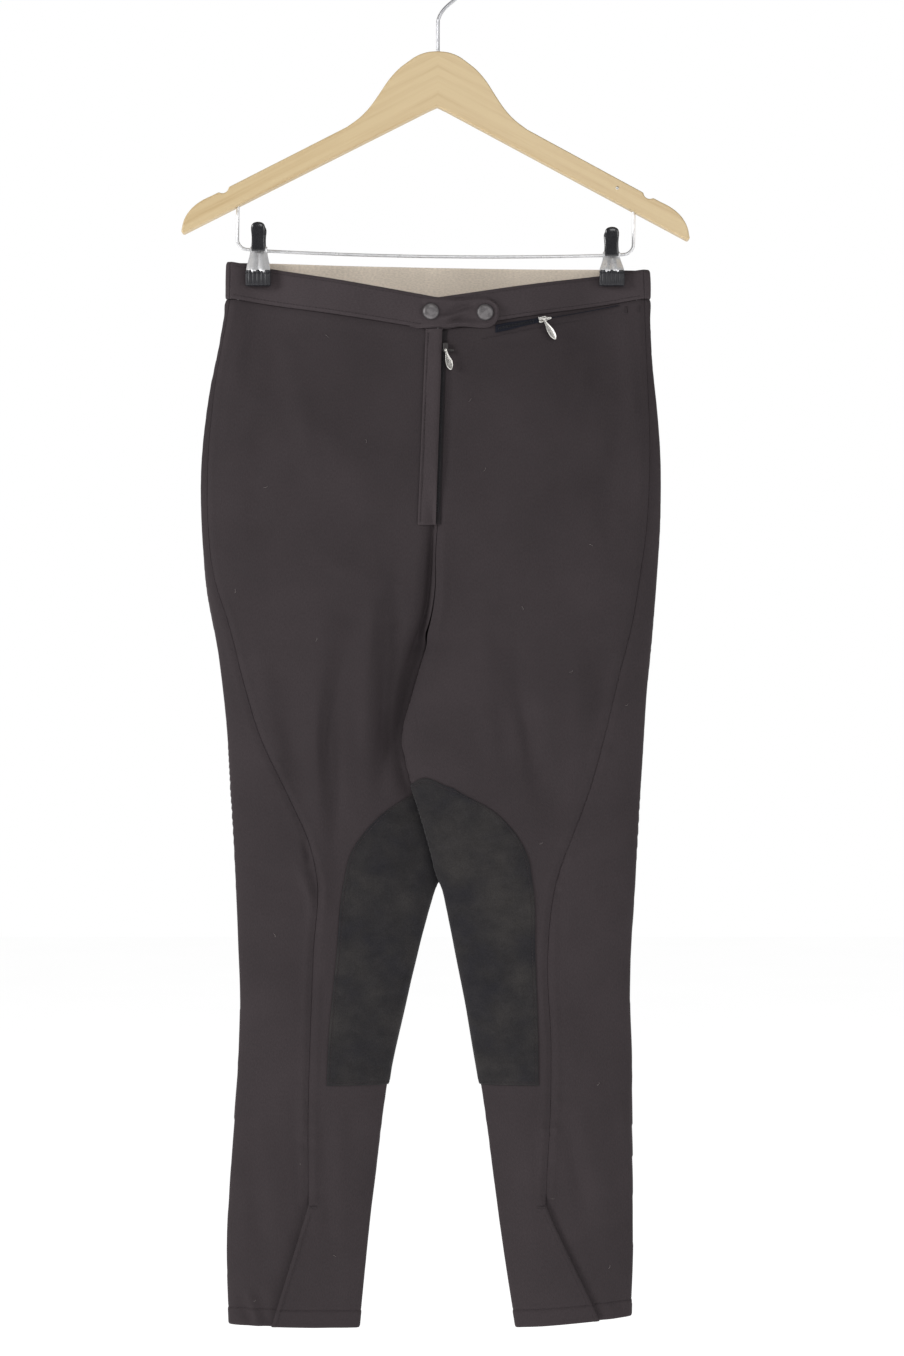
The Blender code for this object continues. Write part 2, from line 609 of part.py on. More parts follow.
def add_tab(band):
    radius = TAB_HEIGHT / 2
    straight = np.linspace(TAB_START, TAB_END - radius, 9)
    angles = np.linspace(0, math.pi / 2, 6)[1:]
    round_end = TAB_END - radius + radius * np.sin(angles * 0.97)
    rows = []
    for x in [*straight, *round_end]:
        into_end = max(0.0, x - (TAB_END - radius))
        half = math.sqrt(radius**2 - into_end**2)
        half -= TAB_WAIST * math.exp(-(((x - 20.0) / 13.0) ** 2))
        rows.append([(x, TAB_MIDDLE + half * share) for share in (1.0, 0.34, -0.34, -1.0)])
    front_strip("waist_tab", rows, [BAND_STEP + SEAT_GAP] * 4, TAB, band)


def front_frame(x, z, lift, turned=0.0):
    """A matrix on the front: local -Y is out of the cloth, and local X lies in it, turned by an angle."""
    point, normal = front_point(x, z, lift)
    into = -Vector(normal)
    across = Vector((math.cos(turned), 0.0, math.sin(turned)))
    across = (across - into * across.dot(into)).normalized()
    up = across.cross(into)
    frame = Matrix((across, into, up)).transposed().to_4x4()
    frame.translation = Vector(point) * MM
    return frame


def turned_solid(name, profile, finish, steps=14):
    """A turned piece about local Z from (radius, height) pairs that run down its outer side."""
    mesh = bpy.data.meshes.new(name)
    points = [(radius * MM, 0.0, height * MM) for radius, height in profile]
    mesh.from_pydata(points, [(i, i + 1) for i in range(len(points) - 1)], [])
    obj = add_object(name, mesh, finish)
    screw = obj.modifiers.new("turn", "SCREW")
    screw.steps = screw.render_steps = steps
    screw.use_merge_vertices = True
    screw.merge_threshold = 0.00001
    return obj


def add_snaps(snap):
    cap = ((0.0, 1.0), (0.42, 1.0), (0.55, 0.75), (0.68, 0.78), (0.8, 1.0), (0.94, 0.7), (1.0, 0.2), (1.0, 0.0))
    profile = [(radius * SNAP_RADIUS, height * SNAP_HEIGHT) for radius, height in cap] + [(0.0, 0.0)]
    lift = BAND_STEP + SEAT_GAP + TAB + SEAT_GAP
    for name, (x, z) in SNAPS.items():
        obj = turned_solid(name, profile, snap)
        # Local Z of the turned cap points out of the cloth.
        obj.matrix_world = front_frame(x, z, lift) @ Matrix.Rotation(math.radians(90), 4, "X")


# ---- zip sliders and pulls ---------------------------------------------------------------------------------


def box_mesh(size, centre):
    mesh = bmesh.new()
    bmesh.ops.create_cube(mesh, size=1.0)
    scale = Matrix.Diagonal((*[side * MM for side in size], 1.0))
    bmesh.ops.transform(mesh, matrix=Matrix.Translation(Vector(centre) * MM) @ scale, verts=mesh.verts)
    data = bpy.data.meshes.new("box")
    mesh.to_mesh(data)
    mesh.free()
    return data


def rod_mesh(radius, length, centre, axis="X", segments=12):
    mesh = bmesh.new()
    bmesh.ops.create_cone(
        mesh, cap_ends=True, segments=segments, radius1=radius * MM, radius2=radius * MM, depth=length * MM
    )
    turn = {"X": Matrix.Rotation(math.radians(90), 4, "Y"), "Z": Matrix.Identity(4)}
    turn["Y"] = Matrix.Rotation(math.radians(90), 4, "X")
    bmesh.ops.transform(mesh, matrix=Matrix.Translation(Vector(centre) * MM) @ turn[axis], verts=mesh.verts)
    data = bpy.data.meshes.new("rod")
    mesh.to_mesh(data)
    mesh.free()
    return data


def helper(mesh, frame, name):
    obj = bpy.data.objects.new(name, mesh)
    CUTTERS.objects.link(obj)
    obj.matrix_world = frame
    obj.hide_render = True
    obj.display_type = "WIRE"
    return obj


def combine(obj, other, operation):
    boolean = obj.modifiers.new(operation.lower(), "BOOLEAN")
    boolean.operation = operation
    boolean.solver = "EXACT"
    boolean.object = other


def add_slider(name, frame, width, length, cheek_gap, pin_drop, metal):
    """A slider body with two cheeks that carry the pull's pin along local X. Local -Y is out of the cloth."""
    body = box_mesh((width, SLIDER_THICK, length), (0, -SLIDER_THICK / 2, 0))
    obj = add_object(name, body, metal)
    obj.matrix_world = frame
    foot, reach = SLIDER_THICK / 2, PIN_HEIGHT + PIN_RADIUS + 0.4
    for sign in (-1, 1):
        centre = (sign * (cheek_gap + CHEEK) / 2, -(foot + reach) / 2, -pin_drop)
        cheek = box_mesh((CHEEK, reach - foot, CHEEK_LENGTH), centre)
        combine(obj, helper(cheek, frame, f"{name}_cheek"), "UNION")
    pin = rod_mesh(PIN_RADIUS, cheek_gap + CHEEK, (0, -PIN_HEIGHT, -pin_drop), segments=8)
    combine(obj, helper(pin, frame, f"{name}_pin"), "UNION")


def leaf_outline(stretch):
    """Half widths down the leaf: a narrow neck that widens and ends round."""
    length, half = LEAF_LENGTH * stretch, LEAF_WIDTH / 2
    stations = ((0.0, 0.33), (0.16, 0.36), (0.36, 0.74), (0.56, 1.0), (0.78, 0.97), (0.92, 0.66), (1.0, 0.2))
    right = [(share * half, -down * length) for down, share in stations]
    return right + [(-x, z) for x, z in reversed(right)]


def add_pull(name, frame, slant, stretch, pin_drop, metal):
    """A leaf with an eye round the pin. Its origin is on the pin, which is its joint's axis, local X. It
    slants to the right and leans towards the cloth."""
    pin_frame = frame @ Matrix.Translation(Vector((0, -PIN_HEIGHT, -pin_drop)) * MM)
    obj = add_object(name, rod_mesh(EYE_RADIUS, EYE_WIDTH, (0, 0, 0), segments=16), metal)
    obj.matrix_world = pin_frame
    mesh = bmesh.new()
    corners = [mesh.verts.new((x * MM, -LEAF_THICK / 2 * MM, z * MM)) for x, z in leaf_outline(stretch)]
    face = mesh.faces.new(corners)
    extruded = bmesh.ops.extrude_face_region(mesh, geom=[face])
    moved = [v for v in extruded["geom"] if isinstance(v, bmesh.types.BMVert)]
    bmesh.ops.translate(mesh, verts=moved, vec=(0, LEAF_THICK * MM, 0))
    lean = Matrix.Rotation(math.radians(LEAF_LEAN), 4, "X")
    bmesh.ops.transform(mesh, matrix=lean @ Matrix.Rotation(-slant, 4, "Y"), verts=mesh.verts)
    bmesh.ops.recalc_face_normals(mesh, faces=mesh.faces)
    data = bpy.data.meshes.new(f"{name}_leaf")
    mesh.to_mesh(data)
    mesh.free()
    combine(obj, helper(data, pin_frame, f"{name}_leaf"), "UNION")
    hole = rod_mesh(EYE_HOLE, EYE_WIDTH * 3, (0, 0, 0), segments=16)
    combine(obj, helper(hole, pin_frame, f"{name}_eye"), "DIFFERENCE")


def add_zip_hardware(metal):
    lift = SEAT_GAP + TAPE + SEAM_GAP
    frame = front_frame(*FLY_SLIDER, lift)
    add_slider("fly_slider", frame, SLIDER_WIDTH, SLIDER_LENGTH, CHEEK_GAP, PIN_DROP, metal)
    add_pull("fly_pull", frame, math.radians(FLY_PULL_SLANT), 1.0, PIN_DROP, metal)
    slope = math.atan2(POCKET_END[1] - POCKET_START[1], POCKET_END[0] - POCKET_START[0])
    along = (POCKET_SLIDER_X - POCKET_START[0]) / (POCKET_END[0] - POCKET_START[0])
    z = POCKET_START[1] + (POCKET_END[1] - POCKET_START[1]) * along
    frame = front_frame(POCKET_SLIDER_X, z, lift, slope)
    add_slider("pocket_slider", frame, SLIDER_LENGTH, SLIDER_WIDTH, POCKET_CHEEK_GAP, 0.0, metal)
    slant = math.radians(POCKET_PULL_SLANT) - slope
    add_pull("pocket_pull", frame, slant, POCKET_PULL_STRETCH, 0.0, metal)


# ---- hanger ------------------------------------------------------------------------------------------------


def mesh_from_curve(name, curve, frame):
    """The curve as a welded mesh."""
    holder = bpy.data.objects.new(name, curve)
    COLLECTION.objects.link(holder)
    bpy.context.view_layer.update()
    data = bpy.data.meshes.new_from_object(holder.evaluated_get(bpy.context.evaluated_depsgraph_get()))
    bpy.data.objects.remove(holder, do_unlink=True)
    mesh = bmesh.new()
    mesh.from_mesh(data)
    bmesh.ops.remove_doubles(mesh, verts=mesh.verts, dist=0.00001)
    bmesh.ops.transform(mesh, matrix=frame, verts=mesh.verts)
    bmesh.ops.recalc_face_normals(mesh, faces=mesh.faces)
    mesh.to_mesh(data)
    mesh.free()
    return data


def flat_curve(outline, thickness, rounding):
    """A flat outline in local X and Y, thickened along local Z, with rounded edges."""
    curve = bpy.data.curves.new("outline", "CURVE")
    curve.dimensions = "2D"
    curve.fill_mode = "BOTH"
    curve.extrude = (thickness / 2 - rounding) * MM
    curve.bevel_depth = rounding * MM
    curve.bevel_resolution = 1
    curve.offset = -rounding * MM
    spline = curve.splines.new("POLY")
    spline.points.add(len(outline) - 1)
    for point, (x, y) in zip(spline.points, outline):
        point.co = (x * MM, y * MM, 0.0, 1.0)
    spline.use_cyclic_u = True
    return curve


def wire_curve(points, radius, resolution):
    curve = bpy.data.curves.new("wire", "CURVE")
    curve.dimensions = "3D"
    curve.bevel_depth = radius * MM
    curve.bevel_resolution = resolution
    curve.use_fill_caps = True
    spline = curve.splines.new("POLY")
    spline.points.add(len(points) - 1)
    for point, co in zip(spline.points, points):
        point.co = (*[value * MM for value in co], 1.0)
    return curve


def tilt_frame():
    pivot = Matrix.Translation((0, 0, NECK * MM))
    return pivot @ Matrix.Rotation(HANGER_TILT, 4, "Y") @ pivot.inverted()


def add_hanger_arms(wood):
    right = list(CROWN) + [ARM_END] + list(TIP)
    right.append((HALF_SPAN - 2.0, APEX - UNDERSIDE_SLOPE * (HALF_SPAN - 2.0)))
    apex = [(7.0, APEX - 4.4), (0.0, APEX - 1.2), (-7.0, APEX - 4.4)]
    left = [(-x, z) for x, z in reversed(right)][:-1]
    outline = right + apex + left
    stand = Matrix.Rotation(math.radians(90), 4, "X")
    mesh = mesh_from_curve("hanger_arms", flat_curve(outline, WOOD_THICK, WOOD_ROUND), stand)
    arms = add_object("hanger_arms", mesh, wood)
    arms.matrix_world = tilt_frame()
    for sign in (-1, 1):
        notch = rod_mesh(NOTCH_RADIUS, WOOD_THICK * 2, (sign * NOTCH_X, 0, NOTCH_Z), "Y", 20)
        combine(arms, helper(notch, tilt_frame(), "shoulder_notch"), "DIFFERENCE")
        depth = BAR_TOP - BAR_HEIGHT
        middle = (sign * BAR_SPAN, 0, BAR_TOP + SEAM_GAP - depth / 2)
        socket = rod_mesh(BAR_RADIUS + BAR_SOCKET_CLEARANCE, depth, middle, "Z", 12)
        combine(arms, helper(socket, tilt_frame(), "bar_socket"), "DIFFERENCE")
    bore = rod_mesh(HOOK_WIRE + STEM_CLEARANCE, HOOK_STEM_DEPTH * 2 + 1.0, (0, 0, NECK), "Z", 12)
    combine(arms, helper(bore, tilt_frame(), "hook_bore"), "DIFFERENCE")


def add_hook(chrome):
    centre = -(HOOK_RADIUS - HOOK_WIRE)
    start, end = math.radians(HOOK_START), math.radians(HOOK_END)
    ring = [
        (HOOK_RADIUS * math.cos(a), 0.0, centre + HOOK_RADIUS * math.sin(a)) for a in np.linspace(start, end, 22)
    ]
    first = ring[0]
    stem = [(0.0, 0.0, NECK - HOOK_STEM_DEPTH), (0.0, 0.0, HOOK_STEM_TOP), (0.6, 0.0, HOOK_STEM_TOP + 4.0)]
    bend = [(first[0] * share, 0.0, HOOK_STEM_TOP + (first[2] - HOOK_STEM_TOP) * rise)
            for share, rise in ((0.18, 0.42), (0.5, 0.7))]
    frame = Matrix.Identity(4)
    mesh = mesh_from_curve("hanger_hook", wire_curve(stem + bend + ring, HOOK_WIRE, 2), frame)
    add_object("hanger_hook", mesh, chrome)


def bar_route():
    """Half of the bar's route, from the socket in the right arm to the middle of the sagging run."""
    corner = [
        (
            BAR_SPAN - BAR_CORNER + BAR_CORNER * math.cos(a),
            0.0,
            BAR_HEIGHT + BAR_CORNER + BAR_CORNER * math.sin(a),
        )
        for a in np.linspace(0.0, -math.pi / 2, 6)
    ]
    run = [(x, 0.0, BAR_HEIGHT - BAR_SAG * (1 - (x / BAR_SPAN) ** 2)) for x in (145.0, 100.0, 50.0, 0.0)]
    return [(BAR_SPAN, 0.0, BAR_TOP)] + corner + run


def add_bar(chrome):
    half = bar_route()
    points = half + [(-x, y, z) for x, y, z in reversed(half[:-1])]
    mesh = mesh_from_curve("trouser_bar", wire_curve(points, BAR_RADIUS, 2), tilt_frame())
    add_object("trouser_bar", mesh, chrome)


def bar_level(x):
    """Height of the bar's middle line at x, with the hanger's tilt."""
    flat = BAR_HEIGHT - BAR_SAG * (1 - (x / BAR_SPAN) ** 2)
    return flat - math.sin(HANGER_TILT) * x


def add_clip(side, word, chrome, rubber):
    """A clip round the bar: a sprung body, two coated grips above and two jaw pads on the cloth."""
    x, level = CLIP_X[side], bar_level(CLIP_X[side])
    front, back = PINCH_FRONT + BAND_STEP + PAD_CLEARANCE, PINCH_BACK + BAND_STEP + PAD_CLEARANCE
    seats = (front + PAD_THICK + SEAM_GAP, back + PAD_THICK + SEAM_GAP)
    foot, shoulder, hub = PAD_TOP - 6.0, PAD_TOP + 2.0, level - 2.0
    roof = level + BAR_RADIUS + BAR_PLAY
    inside = [(-seats[0], foot), (-seats[0], shoulder), (-HUB_INSIDE, hub), (-HUB_INSIDE, roof)]
    inside += [(HUB_INSIDE, roof), (HUB_INSIDE, hub), (seats[1], shoulder), (seats[1], foot)]
    outside = [(seats[1] + CLIP_WALL, foot), (seats[1] + CLIP_WALL, shoulder + 0.8)]
    outside += [(HUB_INSIDE + CLIP_WALL, hub + 0.8), (HUB_INSIDE + CLIP_WALL, roof + CLIP_WALL)]
    outside += [(-HUB_INSIDE - CLIP_WALL, roof + CLIP_WALL), (-HUB_INSIDE - CLIP_WALL, hub + 0.8)]
    outside += [(-seats[0] - CLIP_WALL, shoulder + 0.8), (-seats[0] - CLIP_WALL, foot)]
    outline = inside + outside
    curve = flat_curve(outline, CLIP_BODY_WIDTH, 0.0)
    # The outline's X and Y become the world's Y and Z.
    stand = Matrix(((0, 0, 1, x * MM), (1, 0, 0, 0), (0, 1, 0, 0), (0, 0, 0, 1)))
    mesh = mesh_from_curve(f"clip_{word}_body", curve, stand)
    add_object(f"clip_{word}_body", mesh, chrome)
    for face, sign, seat in (("front", -1, front), ("back", 1, back)):
        height = PAD_TOP - PAD_BOTTOM
        centre = (x, sign * (seat + PAD_THICK / 2), PAD_BOTTOM + height / 2)
        pad = box_mesh((CLIP_PAD_WIDTH, PAD_THICK, height), centre)
        add_bevelled(f"clip_{word}_pad_{face}", pad, rubber, 0.8)
        add_grip(f"clip_{word}_grip_{face}", x, level - GRIP_DROP, sign, rubber)


def add_bevelled(name, mesh, finish, width):
    obj = add_object(name, mesh, finish)
    bevel = obj.modifiers.new("round", "BEVEL")
    bevel.width = width * MM
    bevel.segments = 2
    return obj


def add_grip(name, x, bottom, sign, rubber):
    """A coated grip with a round top, which leans away from the middle plane."""
    lean = Matrix.Rotation(-sign * math.radians(GRIP_LEAN), 4, "X")
    clear = HUB_INSIDE + CLIP_WALL + SEAM_GAP + GRIP_THICK / 2
    root = Vector((x, sign * clear, bottom)) * MM
    half = CLIP_GRIP_WIDTH / 2
    straight = GRIP_HEIGHT - half
    turns = np.linspace(0.0, math.pi, 9)
    outline = [(-half, 0.0)] + [(-half * math.cos(a), straight + half * math.sin(a)) for a in turns]
    outline.append((half, 0.0))
    stand = Matrix.Translation(root) @ lean @ Matrix.Rotation(math.radians(90), 4, "X")
    mesh = mesh_from_curve(name, flat_curve(outline, GRIP_THICK, 1.0), stand)
    add_object(name, mesh, rubber)


# ---- the whole object --------------------------------------------------------------------------------------


def build():
    clear_scene()
    finish = finishes()
    add_panels(finish["cloth"])
    add_waistband(finish["band"], finish["facing"])
    add_patches(finish["suede"])
    add_placket(finish["cloth"])
    add_zip_tapes(finish["tape"])
    add_tab(finish["band"])
    add_snaps(finish["snap"])
    add_zip_hardware(finish["metal"])
    add_hanger_arms(finish["wood"])
    add_hook(finish["chrome"])
    add_bar(finish["chrome"])
    for side, word in ((LEFT, "left"), (RIGHT, "right")):
        add_clip(side, word, finish["chrome"], finish["rubber"])


build()
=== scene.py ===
"""Riding breeches hung by two clips from a wooden hanger, dressed as the photograph shows them.

Left and right are the viewer's, the front faces -Y, and sizes are in millimetres unless a name says
otherwise. The cloth repeats the outer face of the solids and adds the soft folds, seams and trim.
"""

import logging
import math
from dataclasses import dataclass, field
from enum import Enum

import bmesh
import bpy
import numpy as np
from mathutils import Matrix, Vector


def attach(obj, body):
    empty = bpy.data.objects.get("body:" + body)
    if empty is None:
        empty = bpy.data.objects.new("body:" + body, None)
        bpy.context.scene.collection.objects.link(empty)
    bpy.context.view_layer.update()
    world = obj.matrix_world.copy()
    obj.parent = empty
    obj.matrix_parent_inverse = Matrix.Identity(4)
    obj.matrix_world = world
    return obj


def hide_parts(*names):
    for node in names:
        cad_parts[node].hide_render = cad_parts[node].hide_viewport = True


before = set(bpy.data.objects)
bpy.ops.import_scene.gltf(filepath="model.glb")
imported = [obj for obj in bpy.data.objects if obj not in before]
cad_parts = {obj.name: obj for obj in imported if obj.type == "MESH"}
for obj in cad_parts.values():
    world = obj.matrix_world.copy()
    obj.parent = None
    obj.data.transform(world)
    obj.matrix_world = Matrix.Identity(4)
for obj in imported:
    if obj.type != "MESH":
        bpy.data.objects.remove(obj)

Array = np.ndarray
Grids = tuple[np.ndarray, ...]
Rows = tuple[tuple[float, ...], ...]
Piece = bpy.types.Object
Socket = bpy.types.NodeSocket
Material = bpy.types.Material
Group = bpy.types.NodeTree

LOG = logging.getLogger("breeches")
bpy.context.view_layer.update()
MM = 0.001
SEAM_GAP = 0.3  # between pieces that meet at a seam
SEAT_GAP = 0.35  # under a piece that lies on another
CUT_MAP = "cut"  # the UV map in metres of cloth, which the weave follows
BOTH_CLIPS = ("clip_left_pads", "clip_right_pads")


class Side(Enum):
    """The halves of the breeches, by the sign of X."""

    LEFT = -1
    RIGHT = 1

    @property
    def word(self) -> str:
        """The side's word in the names of pieces."""
        return self.name.lower()


class Face(Enum):
    """The faces of the hanging breeches."""

    FRONT = "front"
    BACK = "back"


# ---- the hanging form --------------------------------------------------------------------------------------


def smooth_step(low: float, high: float, value: Array) -> Array:
    """An even rise from 0 at low to 1 at high."""
    share = np.clip((np.asarray(value, float) - low) / (high - low), 0.0, 1.0)
    return share * share * (3.0 - 2.0 * share)


def bump_at(distance: Array, reach: float) -> Array:
    """A round bump of height 1 that has faded out by about twice its reach."""
    return np.exp(-((distance / reach) ** 2))


def crowded(count: int, amount: float) -> Array:
    """Shares from 0 to 1, drawn closer together at both ends by an amount up to 1."""
    even = np.linspace(0.0, 1.0, count)
    return even - amount * np.sin(2 * np.pi * even) / (2 * np.pi)


def unit(vectors: Array) -> Array:
    """Vectors brought to length 1."""
    return vectors / np.linalg.norm(vectors, axis=-1, keepdims=True)


@dataclass(frozen=True)
class Table:
    """Sizes against falling heights, read between the rows on a smooth curve through them."""

    names: str
    rows: Rows

    def at(self, name: str, z: Array) -> Array:
        """Reads one column.

        Args:
            name: The column's name.
            z: Heights.

        Returns:
            The column's values at those heights.
        """
        column = self.names.split().index(name)
        depths, values = -np.array(self.rows, float)[:, 0], np.array(self.rows, float)[:, column]
        slopes = np.gradient(values, depths)
        depth = -np.asarray(z, float)
        i = np.clip(np.searchsorted(depths, depth) - 1, 0, len(depths) - 2)
        span = depths[i + 1] - depths[i]
        t = np.clip((depth - depths[i]) / span, 0.0, 1.0)
        start = (1 + 2 * t) * (1 - t) ** 2 * values[i] + t * (1 - t) ** 2 * span * slopes[i]
        end = t * t * (3 - 2 * t) * values[i + 1] + t * t * (t - 1) * span * slopes[i + 1]
        return start + end


BODY = Table(
    "z outer_left outer_right inner_left inner_right front back",
    (
        (-270, 184.8, 184.8, 0, 0, 23, 12), (-305, 185.7, 185.7, 0, 0, 24, 14), (-344, 191.8, 186.6, 0, 0, 25, 20),
        (-397, 201.5, 191.5, 0, 0, 27, 27), (-449, 207.3, 194.5, 0, 0, 28, 31), (-502, 206.7, 194.5, 0, 0, 28, 32),
        (-554, 202.5, 191.4, 0, 0, 26, 29), (-607, 193.5, 187.0, 0, 0, 23, 25), (-660, 186.6, 182.2, 2, 2, 20, 21),
        (-738, 181.3, 177.0, 3, 3, 17, 18), (-817, 177.0, 172.6, 4, 5, 16, 17),
        (-870, 175.2, 169.1, 17.5, 14.9, 15.5, 16.5), (-922, 173.4, 168.2, 29.8, 25.4, 15, 16),
        (-975, 175.2, 169.9, 41.2, 34.2, 14.5, 16), (-1027, 178.7, 169.9, 49.1, 42.0, 14, 16),
        (-1080, 182.2, 170.8, 55.2, 49.1, 13, 14.5), (-1132, 184.8, 170.8, 61.3, 56.1, 12, 12.5),
        (-1206, 182.6, 169.1, 68.3, 67.5, 11, 11),
    ),
)
OUTSEAM = Table(
    "z left right",
    (
        (-304, 182.2, 180.5), (-382, 195.5, 184.0), (-449, 201.5, 185.0), (-502, 201.0, 182.5), (-550, 195.0, 176.0),
        (-586, 183.5, 170.0), (-636, 170.5, 157.5), (-690, 153.5, 144.5), (-737, 131.4, 131.0), (-778, 113.0, 115.6),
        (-810, 105.5, 104.2), (-876, 108.5, 95.8), (-956, 111.5, 98.6), (-1010, 113.0, 98.1), (-1096, 113.0, 94.0),
        (-1206, 113.0, 96.0),
    ),
)
LAPS = Table(
    "z reach",
    (
        (-500, 0), (-530, 2), (-560, 2.5), (-590, 8), (-612, 17), (-633, 26), (-655, 35), (-675, 42.5), (-690, 45),
        (-708, 42), (-740, 33), (-770, 22.5), (-790, 15.7), (-810, 9.7), (-820, 4), (-840, 0),
    ),
)
PATCH_EDGE = Table(
    "z left right",
    (
        (-733, 14.0, 14.0), (-751, 44.0, 47.0), (-767, 61.0, 64.0), (-786, 74.5, 76.0), (-816, 82.3, 82.6),
        (-876, 88.2, 84.8), (-956, 95.5, 87.4), (-991, 97.0, 87.8),
    ),
)
# The large folds that the solids have: side, face, x at the top and bottom, top, bottom, width, height.
FOLDS = (
    (Side.LEFT, Face.FRONT, 98, 102, -545, -860, 15, 3.2),
    (Side.LEFT, Face.FRONT, 68, 74, -560, -770, 14, -2.6),
    (Side.RIGHT, Face.FRONT, 58, 82, -540, -730, 16, -3.0),
    (Side.RIGHT, Face.FRONT, 104, 92, -560, -780, 16, 2.4),
    (Side.LEFT, Face.FRONT, 150, 176, -330, -470, 14, 1.8),
    (Side.RIGHT, Face.FRONT, 126, 160, -340, -480, 16, 2.0),
    (Side.LEFT, Face.BACK, 50, 76, -540, -735, 18, 3.2),
    (Side.LEFT, Face.BACK, 92, 108, -560, -760, 15, -2.8),
    (Side.RIGHT, Face.BACK, 46, 70, -530, -735, 18, 3.0),
    (Side.RIGHT, Face.BACK, 88, 106, -550, -750, 15, -2.8),
    (Side.RIGHT, Face.FRONT, 118, 146, -1000, -1110, 12, 2.2),
    (Side.LEFT, Face.FRONT, 150, 132, -1040, -1160, 12, 2.0),
)


@dataclass(frozen=True)
class HangingForm:
    """The breeches' outer face as they hang: a trunk that parts into two legs, pressed flat by the clips.

    A place on a half is its turn and its height. The turn is 0 at the centre front or inseam, 0.5 at the
    outer edge and 1 at the centre back or inseam. The height is the one before the waist and hem are shaped.
    """

    waist_top: float = -275.0
    waist_seam: float = -304.0
    fork_top: float = -470.0
    crotch: float = -612.0
    fork_ease: float = 50.0
    fork_sharpness: int = 28
    crotch_ease: float = 0.15
    flap_top: float = -1096.0
    hem: float = -1204.0
    front_drop: float = 30.0
    drop_half_width: float = 180.0
    drop_fades_at: float = -450.0
    top_tilt: float = -3.5
    tilt_half_width: float = 185.0
    centre_clearance: float = 0.2
    tip_fullness: float = 0.84
    hem_rise_left: float = 3.0
    hem_rise_right: float = 10.0
    lap_reach: float = 45.0
    lap_depth: float = 6.0
    lap_fade: float = 85.0
    lap_room: float = 2.2
    lap_room_fade: float = 48.0
    clip_left: float = 157.0
    clip_right: float = 152.0
    pinch_in: float = 45.0
    pinch_out: float = 26.0
    pinch_front: float = 3.0
    pinch_back: float = 4.4
    pinch_fades_at: float = -400.0

    def sided(self, stem: str, side: Side) -> float:
        """The field of that stem for one side."""
        return getattr(self, f"{stem}_{side.word}")

    def leg_share(self, turn: Array, z: Array) -> Array:
        """0 where a half is open at the middle, 1 where it is a closed leg.

        Args:
            turn: Turns round the half.
            z: Heights.

        Returns:
            The share of the leg's form, which follows the round crotch seam near the middle.
        """
        fall = np.clip((self.fork_top - z) / (self.fork_top - self.crotch), 0.0, 1.0)
        sharp, soft = np.sqrt(1.0 - fall**2 + self.crotch_ease**2), self.crotch_ease
        by_seam = 1.0 - (sharp - soft) / (math.hypot(1.0, soft) - soft)
        by_side = smooth_step(self.fork_top + self.fork_ease, self.crotch - self.fork_ease, z)
        near_middle = np.abs(np.cos(np.pi * turn)) ** self.fork_sharpness
        return near_middle * by_seam + (1 - near_middle) * by_side

    def flatness(self, turn: Array, z: Array) -> Array:
        """How far round to the flat front (-1) or back (1) each place is, 0 at the edges of the half."""
        leg, sine = self.leg_share(turn, z), np.sin(2 * np.pi * turn)
        return (1 - leg) * -np.cos(np.pi * turn) - leg * np.sign(sine) * np.abs(sine) ** self.tip_fullness

    def point(self, side: Side, turn: Array, z: Array) -> Array:
        """Points of one half's outer face.

        Args:
            side: The half.
            turn: Turns round the half.
            z: Heights.

        Returns:
            The points, with x, y and z along the last axis.
        """
        turn, z = np.broadcast_arrays(np.asarray(turn, float), np.asarray(z, float))
        outer, inner = BODY.at(f"outer_{side.word}", z), BODY.at(f"inner_{side.word}", z)
        leg, cosine = self.leg_share(turn, z), np.cos(2 * np.pi * turn)
        rounded = np.sign(cosine) * np.abs(cosine) ** self.tip_fullness
        x_leg = (outer + inner) / 2 - (outer - inner) / 2 * rounded
        x = (1 - leg) * outer * np.sin(np.pi * turn) + leg * (x_leg + self.centre_clearance)
        flat = self.flatness(turn, z)
        is_front = flat < 0
        free = np.abs(flat) * np.where(is_front, BODY.at("front", z), BODY.at("back", z))
        from_clip = x - self.sided("clip", side)
        pinch = bump_at(from_clip, np.where(from_clip < 0, self.pinch_in, self.pinch_out))
        pinch = pinch * smooth_step(self.pinch_fades_at, self.waist_seam, z)
        held = np.minimum(free, np.where(is_front, self.pinch_front, self.pinch_back))
        depth = free * (1 - pinch) + held * pinch
        depth = depth + self.large_folds(side, is_front, x, z) * np.clip(np.abs(flat) * 2.5, 0.0, 1.0)
        y, reach = np.where(is_front, -depth, depth), LAPS.at("reach", z)
        # The right leg's inner roll passes before the left's.
        x = side.value * x
        x = x + reach * np.tanh(y / self.lap_depth) * np.exp(-((x / self.lap_fade) ** 4))
        y = y - side.value * self.lap_room * reach / self.lap_reach * bump_at(x**2, self.lap_room_fade**2)
        drop = self.front_drop * np.clip(1 - np.abs(x) / self.drop_half_width, 0.0, 1.0)
        drop = drop * smooth_step(self.drop_fades_at, self.waist_seam, z) * is_front
        above = np.clip((z - self.waist_seam) / (self.waist_top - self.waist_seam), 0, 1.2)
        tilt = self.top_tilt * x / self.tilt_half_width * above
        across = np.clip((np.abs(x) - inner) / (outer - inner), 0.0, 1.0)
        rise = self.sided("hem_rise", side) * across * smooth_step(self.flap_top, self.hem, z)
        return np.stack([x, y, z - drop + tilt + rise], axis=-1)

